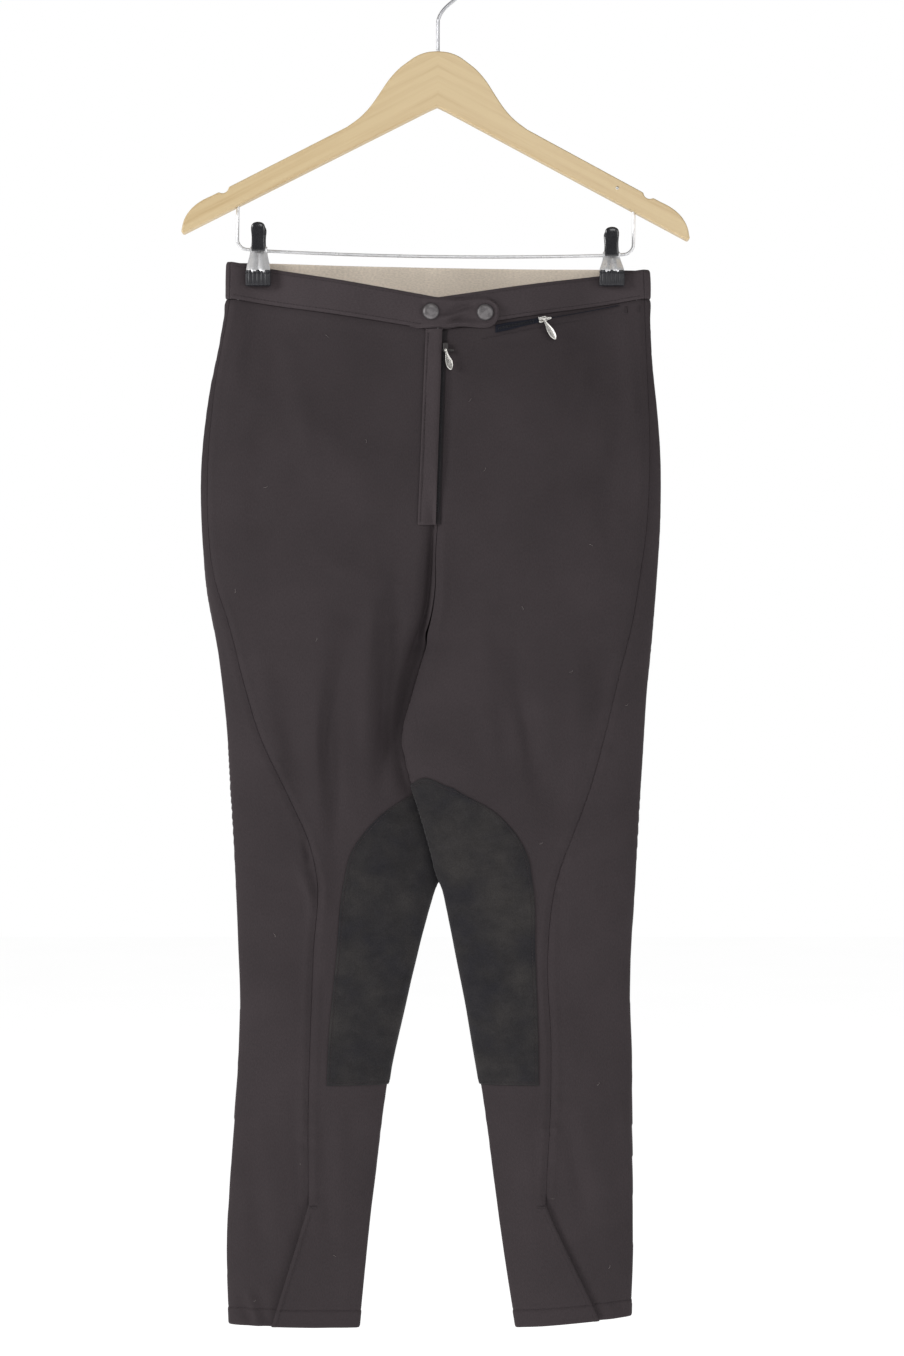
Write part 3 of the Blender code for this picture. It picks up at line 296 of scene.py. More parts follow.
    def large_folds(self, side: Side, is_front: Array, x: Array, z: Array) -> Array:
        """Height of the large folds above the plain face."""
        total = np.zeros(np.broadcast(x, z).shape)
        for fold_side, face, x_top, x_bottom, top, bottom, width, height in FOLDS:
            if fold_side == side:
                run = np.clip((top - z) / (top - bottom), 0.0, 1.0)
                there = is_front if face == Face.FRONT else ~is_front
                across = bump_at(x - x_top - (x_bottom - x_top) * run, width)
                total = total + height * np.sin(np.pi * run) ** 0.8 * across * there
        return total

    def normal(self, side: Side, turn: Array, z: Array) -> Array:
        """Unit normals of the outer face."""
        turn_step, z_step = 0.002, 0.6
        around = self.point(side, turn + turn_step, z) - self.point(side, turn - turn_step, z)
        upward = self.point(side, turn, z + z_step) - self.point(side, turn, z - z_step)
        return unit(np.cross(around, upward) * side.value)

    def turn_at(self, side: Side, x: Array, z: Array) -> Array:
        """Turns on the front at a distance x from the middle, at nominal height z."""
        x, z = np.broadcast_arrays(np.asarray(x, float), np.asarray(z, float))
        low, high = np.zeros(x.shape), np.full(x.shape, 0.5)
        for _ in range(20):
            middle = (low + high) / 2
            nearer = side.value * self.point(side, middle, z)[..., 0] < x
            low, high = np.where(nearer, middle, low), np.where(nearer, high, middle)
        return (low + high) / 2

    def locate(self, side: Side, x: Array, z: Array) -> Grids:
        """Turns and nominal heights of the front's points at distance x and true height z."""
        nominal = np.array(z, float)
        for _ in range(9):
            turn = self.turn_at(side, x, nominal)
            nominal = nominal + z - self.point(side, turn, nominal)[..., 2]
        return turn, nominal


# ---- soft folds --------------------------------------------------------------------------------------------


def smooth_route(points: Rows, pieces: int = 5) -> Array:
    """A smooth curve through points in a plane, as (n, 2)."""
    given = np.array(points, float)
    padded = np.vstack([2 * given[0] - given[1], given, 2 * given[-1] - given[-2]])
    made = [
        0.5 * (2 * b + (c - a) * t + (2 * a - 5 * b + 4 * c - d) * t**2 + (3 * b - a - 3 * c + d) * t**3)
        for a, b, c, d in zip(padded, padded[1:], padded[2:], padded[3:])
        for t in np.linspace(0.0, 1.0, pieces, endpoint=False)
    ]
    return np.array([*made, given[-1]])


@dataclass(frozen=True)
class Crease:
    """A soft ridge, or a trough where its height is negative, along a route in x and z."""

    route: Rows
    height: float
    width: float
    far_width: float = 0.0  # on the route's other side, where it differs
    side: Side | None = None  # where only one half has it

    def at(self, x: Array, z: Array) -> Array:
        """The crease's height at places of the face.

        Args:
            x: World x.
            z: World z.

        Returns:
            The heights.
        """
        total, route = np.zeros(x.shape), smooth_route(self.route)
        reach = 3 * max(self.width, self.far_width)
        low, high = route.min(axis=0) - reach, route.max(axis=0) + reach
        near = (x > low[0]) & (x < high[0]) & (z > low[1]) & (z < high[1])
        if not near.any():
            return total
        place = np.stack([x[near], z[near]], axis=-1)
        best, along, sign = np.full(len(place), 1e9), np.zeros(len(place)), np.zeros(len(place))
        lengths, start = np.linalg.norm(np.diff(route, axis=0), axis=-1), 0.0
        for a, b, length in zip(route, route[1:], lengths):
            step, away = (b - a) / length, place - a
            t = np.clip(away @ step, 0.0, length)
            distance = np.linalg.norm(away - t[:, None] * step, axis=-1)
            closer = distance < best
            best = np.where(closer, distance, best)
            along = np.where(closer, (start + t) / lengths.sum(), along)
            sign = np.where(closer, step[0] * away[:, 1] - step[1] * away[:, 0], sign)
            start += length
        uneven = 1 + 0.18 * np.sin(9.0 * along + self.height * 7 + self.route[0][0])
        width = np.where(sign > 0, self.far_width or self.width, self.width) * uneven
        taper = np.sin(np.pi * np.clip(along, 0.02, 0.98)) ** 0.8
        total[near] = self.height * taper * (2 - uneven) * bump_at(best, width)
        return total


def drawn(*rows: tuple[float, ...], side: Side | None = None) -> tuple[Crease, ...]:
    """Creases from rows: height, width, far width (0 for the same), then x and z of each point."""
    return tuple(Crease(tuple(zip(row[3::2], row[4::2])), *row[:3], side) for row in rows)


FRONT_CREASES = drawn(
    # From the clips and hips.
    (0.8, 9, 0, 140, -330, 126, -382, 114, -440), (0.7, 7, 0, 163, -322, 169, -370, 172, -430),
    (0.8, 10, 0, -140, -330, -122, -385, -110, -452), (0.7, 8, 0, -166, -325, -177, -370, -185, -430),
    (-1.5, 13, 10, 158, -395, 153, -450, 146, -520), (0.9, 7, 0, 177, -400, 176, -470, 170, -540),
    (-1.0, 14, 0, -152, -395, -158, -450, -160, -515), (1.0, 15, 0, 142, -368, 96, -425, 52, -488, 24, -528),
    (-0.8, 14, 0, 150, -412, 112, -458, 72, -512), (0.5, 15, 0, -120, -400, -78, -452, -42, -508),
    # The lips of the pocket's slit, and the fullness below it.
    (0.75, 2.4, 0, 48, -338.5, 76, -335, 104, -326.5, 152, -316), (-0.4, 4, 0, 50, -345, 84, -341, 120, -331),
    # Beside the placket and out from the crotch.
    (-0.9, 5.5, 0, 11, -342, 8, -420, 4, -500), (0.7, 10, 0, -20, -562, -60, -550, -106, -530),
    (-0.6, 9, 0, -18, -586, -58, -590, -96, -576), (0.6, 10, 0, 20, -560, 62, -552, 102, -535),
    # Thighs.
    (2.2, 9, 0, -56, -562, -60, -625, -64, -705), (-3.1, 8, 7, -36, -548, -43, -620, -47, -690, -52, -748),
    (-1.1, 6, 0, -86, -640, -88, -720, -90, -800), (-1.3, 12, 0, -136, -610, -128, -690, -117, -762),
    (0.7, 9, 0, -158, -600, -148, -660, -134, -720), (-2.3, 8, 11, 66, -598, 77, -680, 92, -752),
    (1.2, 11, 0, 40, -590, 44, -660, 52, -735), (1.3, 11, 0, 120, -600, 122, -690, 110, -782),
    (-1.1, 10, 0, 146, -590, 142, -640, 132, -700),
    # Knees.
    (-1.6, 3.6, 5, -119, -768, -112, -798, -104, -826), (0.9, 4, 0, -126, -792, -115, -815, -107, -848),
    (1.0, 7, 0, -98, -800, -97, -850, -100, -905), (-0.6, 8, 0, -168, -800, -142, -812, -118, -818),
    (0.5, 8, 0, -170, -836, -142, -843, -116, -838), (0.9, 10, 0, -170, -924, -146, -902, -122, -884),
    (-0.7, 9, 0, -172, -952, -149, -932, -126, -916), (-0.8, 6, 0, 112, -780, 106, -820, 104, -870),
    (1.3, 12, 0, 168, -832, 142, -866, 114, -902), (-1.0, 11, 0, 166, -872, 142, -902, 118, -932),
    (-0.6, 9, 0, 168, -780, 146, -792, 118, -800),
    # Calves and hems.
    (-1.1, 8, 0, 108, -988, 122, -1070, 134, -1132), (-1.0, 10, 0, 148, -985, 160, -1080, 165, -1160),
    (-0.9, 9, 0, -165, -1010, -159, -1090, -153, -1152), (-0.8, 7, 0, -128, -1000, -120, -1060, -117, -1112),
    (0.7, 9, 0, -84, -1000, -86, -1080, -82, -1152), (-0.6, 6, 0, -100, -1010, -98, -1060, -96, -1120),
    (0.7, 9, 0, 72, -1000, 80, -1080, 85, -1150), (-1.4, 6, 0, -174, -1172, -169, -1188, -161, -1202),
    (-1.1, 5, 0, -158, -1166, -153, -1186, -150, -1204), (0.9, 3.5, 0, -166, -1170, -162, -1188, -156, -1204),
    (-0.8, 7, 0, 155, -1160, 158, -1180, 163, -1200),
)
# The shadowed hollow on the left leg, beside the right leg's roll.
FRONT_CREASES += drawn(
    (-2.7, 6.5, 2, -4, -462, -4.5, -500, -5.5, -540, -9, -578, -16, -612, -24, -640),
    (-2.7, 8, 2.4, -5, -500, -6, -540, -9, -578, -17, -612, -28, -650, -35, -684),
    (-2.2, 9, 2.4, -20, -620, -29, -655, -35, -684, -33, -706, -24, -740),
    side=Side.LEFT,
)
FRONT_CREASES += drawn((0.7, 3.5, 6, 7, -462, 6, -520, 3, -575, -8, -625, -22, -680), side=Side.RIGHT)
BACK_CREASES = drawn(
    (1.0, 11, 0, -140, -330, -120, -400, -98, -470), (1.0, 11, 0, 142, -330, 124, -392, 100, -462),
    (0.8, 9, 0, -166, -330, -176, -390, -182, -450), (0.8, 9, 0, 165, -330, 170, -390, 174, -450),
    (-0.8, 12, 0, -120, -350, -80, -372, -30, -380), (-0.8, 12, 0, 118, -352, 78, -370, 26, -382),
    (1.2, 12, 0, -26, -560, -84, -578, -150, -562), (-1.4, 12, 0, -24, -592, -82, -612, -142, -602),
    (1.1, 12, 0, 28, -566, 86, -580, 146, -566), (-1.3, 12, 0, 24, -598, 84, -614, 140, -606),
    (0.8, 12, 0, -36, -628, -90, -640, -138, -632), (0.8, 12, 0, 34, -632, 88, -644, 134, -640),
    (0.9, 9, 0, -60, -862, -108, -874, -160, -864), (-1.4, 8, 0, -60, -884, -108, -896, -162, -884),
    (1.1, 8, 0, -64, -908, -110, -918, -164, -904), (-1.0, 8, 0, -66, -932, -108, -941, -160, -932),
    (0.9, 9, 0, 54, -870, 102, -880, 154, -868), (-1.4, 8, 0, 55, -892, 104, -902, 156, -890),
    (1.1, 8, 0, 58, -914, 106, -924, 156, -912), (-0.9, 8, 0, 60, -940, 104, -948, 154, -938),
    (1.1, 10, 0, -152, -1000, -142, -1090, -148, -1180), (-1.0, 9, 0, -112, -1000, -119, -1090, -113, -1172),
    (1.1, 10, 0, 144, -1000, 136, -1090, 142, -1180), (-1.0, 9, 0, 104, -1004, 110, -1090, 104, -1172),
)
# Where the sliders' pins stand, so that the cloth lies there as the solids have it: x, z, reach.
CALM_PLACES = ((6.8, -349.0, 15.0), (90.5, -324.0, 15.0))
# Long, faint waves of the hanging cloth: turns a millimetre across and down, and the phase.
SLOW_WAVES = ((0.031, 0.012, 0.4), (-0.018, 0.027, 1.7), (0.052, -0.021, 2.6), (0.011, 0.045, 4.1))
SLOW_WAVE_HEIGHT = 0.22
CREASE_DEPTH = 2.0  # every crease's height is taken this many times


@dataclass
class Drape:
    """The form with its soft folds. Everything that lies on the cloth reads its place here."""

    form: HangingForm = field(default_factory=HangingForm)

    def relief(self, side: Side, turn: Array, z: Array, points: Array) -> Array:
        """Height of the soft folds above the form.

        Args:
            side: The half.
            turn: Turns round the half.
            z: Nominal heights.
            points: The form's points there.

        Returns:
            The heights along the form's normals.
        """
        x, height = points[..., 0], points[..., 2]
        flat = np.broadcast_to(self.form.flatness(turn, z), x.shape)
        total = np.zeros(x.shape)
        for creases, there in ((FRONT_CREASES, flat < 0), (BACK_CREASES, flat >= 0)):
            if there.any():
                mine = [crease for crease in creases if crease.side in (None, side)]
                total += CREASE_DEPTH * sum(crease.at(x, height) for crease in mine) * there
        total *= np.clip(np.abs(flat) * 2.5, 0.0, 1.0)
        for across, down, phase in SLOW_WAVES:
            total += SLOW_WAVE_HEIGHT * np.sin(x * across * 2 + height * down + phase + 2.0 * (flat >= 0))
        total *= smooth_step(self.form.waist_seam + 12.0, self.form.waist_seam - 30.0, z) * 0.85 + 0.15
        for spot_x, spot_z, reach in CALM_PLACES:
            total *= 1 - bump_at(np.hypot(x - spot_x, height - spot_z), reach) * (flat < 0)
        return total

    def skins(self, side: Side, turn: Array, z: Array, lift: Array, wall: Array) -> Grids:
        """Outer and inner points of a sheet on the cloth.

        Args:
            side: The half.
            turn: Turns, in rows and columns.
            z: Nominal heights, likewise.
            lift: How far the sheet's outer face stands out from the cloth's.
            wall: The sheet's thickness.

        Returns:
            The two grids of points.
        """
        turn, z = np.broadcast_arrays(turn, z)
        points, normals = self.form.point(side, turn, z), self.form.normal(side, turn, z)
        outer = points + normals * (np.asarray(lift) + self.relief(side, turn, z, points))[..., None]
        return outer, outer - normals * (np.zeros(turn.shape) + wall)[..., None]

    def patch(self, x: Array, z: Array, lift: Array, wall: Array) -> Grids:
        """Outer and inner points of a sheet on the front, from true x and z."""
        x, z, lift, wall = (np.array(a, float) for a in np.broadcast_arrays(x, z, lift, wall))
        outer, inner = np.zeros((*x.shape, 3)), np.zeros((*x.shape, 3))
        for side in Side:
            mine = (x < 0) == (side == Side.LEFT)
            if mine.any():
                place = self.form.locate(side, np.abs(x[mine]), z[mine])
                outer[mine], inner[mine] = self.skins(side, *place, lift[mine], wall[mine])
        return outer, inner

    def columns(self, side: Side, first: Array, last: Array, z: Array, count: int, crowding: float) -> Grids:
        """Turns of a sheet's columns, even along the cloth and closer at both edges.

        Args:
            side: The half.
            first: Each row's first turn.
            last: Each row's last turn.
            z: Each row's height.
            count: Columns.
            crowding: 0 for even columns, up to 1 for the closest at the edges.

        Returns:
            The turns, and the distances along the cloth from the first column.
        """
        turns = first[:, None] + (last - first)[:, None] * np.linspace(0.0, 1.0, 260)
        steps = np.linalg.norm(np.diff(self.form.point(side, turns, z[:, None]), axis=1), axis=-1)
        arcs = np.concatenate([np.zeros((len(z), 1)), np.cumsum(steps, axis=1)], axis=1)
        spread = crowded(count, crowding) * arcs[:, -1:]
        return np.array([np.interp(*row) for row in zip(spread, arcs, turns)]), spread

    def frame_at(self, x: float, z: float, lift: float, turned: float = 0.0) -> Matrix:
        """A place on the front: its local -Y is out of the cloth, and its X lies in it, turned by an angle."""
        outer, inner = self.patch(np.array([x]), np.array([z]), lift, 1.0)
        into = Vector(inner[0] - outer[0]).normalized()
        across = Vector((math.cos(turned), 0.0, math.sin(turned)))
        across = (across - into * across.dot(into)).normalized()
        made = Matrix((across, into, across.cross(into))).transposed().to_4x4()
        made.translation = Vector(outer[0]) * MM
        return made


# ---- finishes ----------------------------------------------------------------------------------------------


class Graph:
    """Adds and wires the nodes of one material or group."""

    def __init__(self, tree: Group) -> None:
        """Keeps the tree that the nodes go into."""
        self.tree = tree

    def add(self, kind: str, inputs: dict | None = None, **settings: object) -> bpy.types.Node:
        """Adds a node.

        Args:
            kind: The node's type.
            inputs: Values or sockets for its inputs, by name or place.
            settings: Its other properties.

        Returns:
            The node.
        """
        node = self.tree.nodes.new(kind)
        for name, value in settings.items():
            setattr(node, name, value)
        self.feed(node, inputs or {})
        return node

    def feed(self, node: bpy.types.Node, inputs: dict) -> None:
        """Links sockets to a node's inputs, or sets their values."""
        for key, value in inputs.items():
            if isinstance(value, Socket):
                self.tree.links.new(value, node.inputs[key])
            else:
                node.inputs[key].default_value = value

    def place(self) -> Socket:
        """Places on the piece itself."""
        return self.add("ShaderNodeTexCoord").outputs["Object"]

    def noise(self, vector: Socket, scale: float, detail: float = 3.0) -> Socket:
        """Noise between 0 and 1 on a vector."""
        inputs = {"Vector": vector, "Scale": scale, "Detail": detail, "Roughness": 0.55}
        return self.add("ShaderNodeTexNoise", inputs).outputs[0]

    def stretched(self, vector: Socket, scale: tuple, turn: tuple = (0, 0, 0)) -> Socket:
        """The vector, scaled and turned."""
        return self.add("ShaderNodeMapping", {"Vector": vector, "Scale": scale, "Rotation": turn}).outputs[0]

    def ramp(self, share: Socket, stops: tuple) -> Socket:
        """A colour for each share, from stops of (place, linear colour)."""
        node = self.add("ShaderNodeValToRGB", {"Fac": share})
        elements = node.color_ramp.elements
        while len(elements) < len(stops):
            elements.new(0.5)
        for element, (place, colour) in zip(elements, stops):
            element.position, element.color = place, (*colour, 1.0)
        return node.outputs[0]

    def spread(self, share: Socket, low: float, high: float) -> Socket:
        """The middle half of a noise, drawn out between two values."""
        return self.add("ShaderNodeMapRange", {"Value": share, 1: 0.3, 2: 0.7, 3: low, 4: high}).outputs[0]

    def math(self, operation: str, *values: object) -> Socket:
        """One sum on its values."""
        return self.add("ShaderNodeMath", dict(enumerate(values)), operation=operation).outputs[0]

    def shaded(self, colour: Socket, shade: Socket) -> Socket:
        """A colour, lighter or darker by a shade about 1."""
        return self.add("ShaderNodeVectorMath", {0: colour, "Scale": shade}, operation="SCALE").outputs[0]

    def bump(self, height: Socket, depth: float) -> Socket:
        """The normals of a height that is so many metres deep."""
        return self.add("ShaderNodeBump", {"Height": height, "Distance": depth}).outputs[0]


def shader_group(name: str, ins: dict[str, str], outs: dict[str, str]) -> tuple[Graph, bpy.types.Node, bpy.types.Node]:
    """Starts a node group with its sockets.

    Args:
        name: The group's name.
        ins: Its inputs' kinds by name.
        outs: Its outputs' kinds by name.

    Returns:
        The graph to add nodes with, and the group's input and output nodes.
    """
    graph = Graph(bpy.data.node_groups.new(name, "ShaderNodeTree"))
    for way, sockets in (("INPUT", ins), ("OUTPUT", outs)):
        for socket, kind in sockets.items():
            graph.tree.interface.new_socket(socket, in_out=way, socket_type=f"NodeSocket{kind}")
    return graph, graph.add("NodeGroupInput"), graph.add("NodeGroupOutput")


def weave_group() -> Group:
    """A fine twill with loose fibres: the height of its ribs, and an uneven shade about 1."""
    graph, start, end = shader_group(
        "twill_weave", {"Cut": "Vector", "Ribs": "Float"}, {"Height": "Float", "Shade": "Float"}
    )
    cut = start.outputs["Cut"]
    turned = graph.stretched(cut, (1, 1, 1), (0, 0, math.radians(63)))
    inputs = {"Vector": turned, "Scale": start.outputs["Ribs"], "Distortion": 1.2, "Detail": 1.0, "Detail Scale": 2.0}
    ribs = graph.add("ShaderNodeTexWave", inputs).outputs[1]
    fibres = graph.noise(graph.stretched(cut, (900, 420, 1)), 1.0, 2.0)
    loose = graph.math("ADD", fibres, graph.noise(cut, 260, 3.0))
    shade = graph.math("ADD", graph.spread(graph.noise(cut, 19, 4.0), -0.05, 0.05), graph.spread(fibres, 0.9, 1.1))
    graph.feed(end, {"Height": graph.math("MULTIPLY_ADD", ribs, 0.45, loose), "Shade": shade})
    return graph.tree


def wear_group() -> Group:
    """Fine scratches and dull spots for plated and coated pieces, about a roughness."""
    graph, start, end = shader_group(
        "handling_wear", {"Place": "Vector", "Roughness": "Float"}, {"Roughness": "Float", "Height": "Float"}
    )
    place = start.outputs["Place"]
    scratches = graph.noise(graph.stretched(place, (2600, 300, 700), (0.4, 0.2, 0.9)), 1.0, 2.0)
    dull = graph.noise(place, 170, 3.0)
    uneven = graph.math("ADD", graph.spread(scratches, -0.06, 0.08), graph.spread(dull, -0.04, 0.06))
    rough = graph.math("ADD", start.outputs["Roughness"], uneven)
    graph.feed(end, {"Roughness": rough, "Height": graph.math("ADD", scratches, dull)})
    return graph.tree


def start_material(name: str) -> tuple[Graph, Material, bpy.types.Node]:
    """A new material with its graph and its shader."""
    made = bpy.data.materials.new(name)
    made.use_nodes = True
    return Graph(made.node_tree), made, made.node_tree.nodes["Principled BSDF"]


@dataclass(frozen=True)
class ClothFinish:
    """Woven cloth: a fine twill, a heathered shade and a soft sheen at its edges."""

    name: str
    colour: tuple[float, float, float]
    ribs: float = 330.0
    sheen: float = 0.12
    rib_height: float = 0.00012
    roughness: float = 0.82
    sheen_tint: tuple[float, float, float] = (0.95, 0.8, 0.84)
    gloss: float = 0.22

    def make(self, weave: Group) -> Material:
        """The finish as a material on the cut's own map."""
        graph, made, shader = start_material(self.name)
        cut = graph.add("ShaderNodeUVMap", uv_map=CUT_MAP).outputs[0]
        woven = graph.add("ShaderNodeGroup", node_tree=weave)
        graph.feed(woven, {"Cut": cut, "Ribs": self.ribs})
        dark, light = (tuple(c * share for c in self.colour) for share in (0.93, 1.07))
        tone = graph.ramp(graph.noise(graph.place(), 11, 3.0), ((0.35, dark), (0.65, light)))
        inputs = {"Roughness": self.roughness, "Sheen Weight": self.sheen, "Sheen Roughness": 0.35}
        inputs |= {"Sheen Tint": (*self.sheen_tint, 1.0), "Specular IOR Level": self.gloss}
        inputs |= {"Base Color": graph.shaded(tone, woven.outputs["Shade"])}
        graph.feed(shader, inputs | {"Normal": graph.bump(woven.outputs["Height"], self.rib_height)})
        return made


@dataclass(frozen=True)
class SuedeFinish:
    """Dark napped suede, brushed and worn into greenish and navy clouds."""

    name: str = "dark_suede"
    navy: tuple[float, float, float] = (0.0225, 0.0215, 0.0250)
    grey: tuple[float, float, float] = (0.0275, 0.0257, 0.0270)
    worn: tuple[float, float, float] = (0.0375, 0.0345, 0.0340)

    def make(self) -> Material:
        """The finish as a material."""
        graph, made, shader = start_material(self.name)
        place = graph.place()
        clouds = graph.noise(graph.stretched(place, (1.0, 1, 1.15)), 24, 5.0)
        colour = graph.ramp(clouds, ((0.36, self.navy), (0.5, self.grey), (0.68, self.worn)))
        strokes = graph.noise(graph.stretched(place, (70, 60, 95), (0, 0.5, 0)), 1.0, 3.0)
        nap = graph.noise(place, 900, 2.0)
        shade = graph.math("MULTIPLY", graph.spread(strokes, 0.9, 1.12), graph.spread(nap, 0.84, 1.16))
        height = graph.math("ADD", nap, graph.math("MULTIPLY", strokes, 1.6))
        inputs = {"Base Color": graph.shaded(colour, shade), "Normal": graph.bump(height, 0.0003), "Roughness": 0.95}
        graph.feed(shader, inputs | {"Sheen Weight": 0.1, "Sheen Roughness": 0.5, "Specular IOR Level": 0.1})
        return made


@dataclass(frozen=True)
class HardFinish:
    """Plated metal, enamel or a dipped coating, with the marks of handling."""

    name: str
    colour: tuple[float, float, float]
    roughness: float
    metallic: float = 1.0
    coat: float = 0.0
    mottle: float = 0.04

    def make(self, wear: Group) -> Material:
        """The finish as a material."""
        graph, made, shader = start_material(self.name)
        place, worn = graph.place(), graph.add("ShaderNodeGroup", node_tree=wear)
        graph.feed(worn, {"Place": place, "Roughness": self.roughness})
        dark, light = (tuple(min(c * share, 1.0) for c in self.colour) for share in (1 - self.mottle, 1 + self.mottle))
        tone = graph.ramp(graph.noise(place, 240.0, 4.0), ((0.4, dark), (0.6, light)))
        inputs = {"Base Color": tone, "Roughness": worn.outputs["Roughness"], "Metallic": self.metallic}
        inputs |= {"Coat Weight": self.coat, "Coat Roughness": 0.08}
        graph.feed(shader, inputs | {"Normal": graph.bump(worn.outputs["Height"], 0.00002)})
        return made


@dataclass(frozen=True)
class WoodFinish:
    """Pale varnished wood, whose grain runs down each arm."""

    name: str = "pale_wood"
    light: tuple[float, float, float] = (0.71, 0.55, 0.315)
    middle: tuple[float, float, float] = (0.67, 0.505, 0.28)
    dark: tuple[float, float, float] = (0.60, 0.435, 0.225)
    arm_slope: float = 0.524

    def make(self) -> Material:
        """The finish as a material."""
        graph, made, shader = start_material(self.name)
        parts = graph.add("ShaderNodeSeparateXYZ", {0: graph.place()}).outputs
        along = graph.math("ABSOLUTE", parts[0])
        across = graph.math("ADD", parts[2], graph.math("MULTIPLY", along, self.arm_slope))
        grain = graph.add("ShaderNodeCombineXYZ", {0: along, 1: parts[1], 2: across}).outputs[0]
        bands = graph.noise(graph.stretched(grain, (7, 60, 150)), 1.0, 3.0)
        pores = graph.noise(graph.stretched(grain, (60, 500, 1500)), 1.0, 2.0)
        mixed = graph.math("ADD", graph.math("MULTIPLY", bands, 0.78), graph.math("MULTIPLY", pores, 0.22))
        colour = graph.ramp(mixed, ((0.34, self.dark), (0.47, self.middle), (0.62, self.light)))
        inputs = {"Base Color": colour, "Roughness": graph.spread(bands, 0.34, 0.46)}
        inputs |= {"Normal": graph.bump(pores, 0.00005), "Coat Weight": 0.25, "Coat Roughness": 0.2}
        graph.feed(shader, inputs)
        return made


@dataclass
class Finishes:
    """All finishes of the object, made once."""

    def __post_init__(self) -> None:
        """Makes the groups, then every material."""
        weave, wear = weave_group(), wear_group()
        self.cloth = ClothFinish("brown_stretch_cloth", (0.0405, 0.0321, 0.0349)).make(weave)
        self.band = ClothFinish("brown_band_cloth", (0.0545, 0.0435, 0.0470)).make(weave)
        self.facing = ClothFinish("beige_facing", (0.80, 0.70, 0.585), 420, 0.05).make(weave)
        self.tape = ClothFinish("navy_zip_tape", (0.0090, 0.0100, 0.0170), 240, 0.05).make(weave)
        # The fly tape is a real tape, but its near-black brown is painted shadow: it stands for the shade beside the
        # placket.
        self.dark_tape = ClothFinish("zip_tape_painted_shadow", (0.0165, 0.0135, 0.015), 240, 0.02).make(weave)
        self.thread = ClothFinish("brown_thread", (0.043, 0.0345, 0.0375), 900, 0.05).make(weave)
        self.lint = ClothFinish("pale_lint", (0.3, 0.27, 0.26), 900, 0.2).make(weave)
        self.suede = SuedeFinish().make()
        self.wood = WoodFinish().make()
        self.snap = HardFinish("grey_snap", (0.165, 0.155, 0.158), 0.5, 0.45, mottle=0.25).make(wear)
        # Painted shade: a darkened copy of the nickel, for the fly slider that sits in the placket's shade.
        self.dark_metal = HardFinish("zip_metal_painted_shade", (0.06, 0.055, 0.055), 0.5, 0.6).make(wear)
        self.rim = HardFinish("dark_snap_rim", (0.07, 0.065, 0.068), 0.4, 0.6).make(wear)
        self.nickel = HardFinish("nickel", (0.78, 0.76, 0.72), 0.26).make(wear)
        self.coating = HardFinish("black_coating", (0.012, 0.012, 0.015), 0.24, 0.0, coat=0.6).make(wear)
        self.rubber = HardFinish("ribbed_rubber", (0.015, 0.015, 0.019), 0.45, 0.0).make(wear)
        self.strap = HardFinish("bright_steel", (0.86, 0.86, 0.87), 0.32, 0.55).make(wear)
        self.wire = HardFinish("steel_wire", (0.56, 0.56, 0.58), 0.34, 0.75).make(wear)


# ---- making pieces -----------------------------------------------------------------------------------------


def new_piece(name: str, points: Array, faces: Array, finish: Material) -> Piece:
    """A smooth piece from points in millimetres and faces, with an empty map of its cut."""
    mesh = bpy.data.meshes.new(name)
    mesh.from_pydata((points * MM).tolist(), [], faces.tolist())
    mesh.uv_layers.new(name=CUT_MAP)
    mesh.materials.append(finish)
    mesh.shade_smooth()
    made = bpy.data.objects.new(name, mesh)
    bpy.context.scene.collection.objects.link(made)
    return made


def place_piece(piece: Piece, slot: str, *nodes: str, body: str = "breeches") -> Piece:
    """Hangs a finished piece on its body, in place of its solids, and reports it."""
    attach(piece, body)
    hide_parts(*nodes)
    LOG.info("%s: %d faces, rides %s, replaces %s", piece.name, len(piece.data.polygons), body, nodes or "nothing")
    return piece


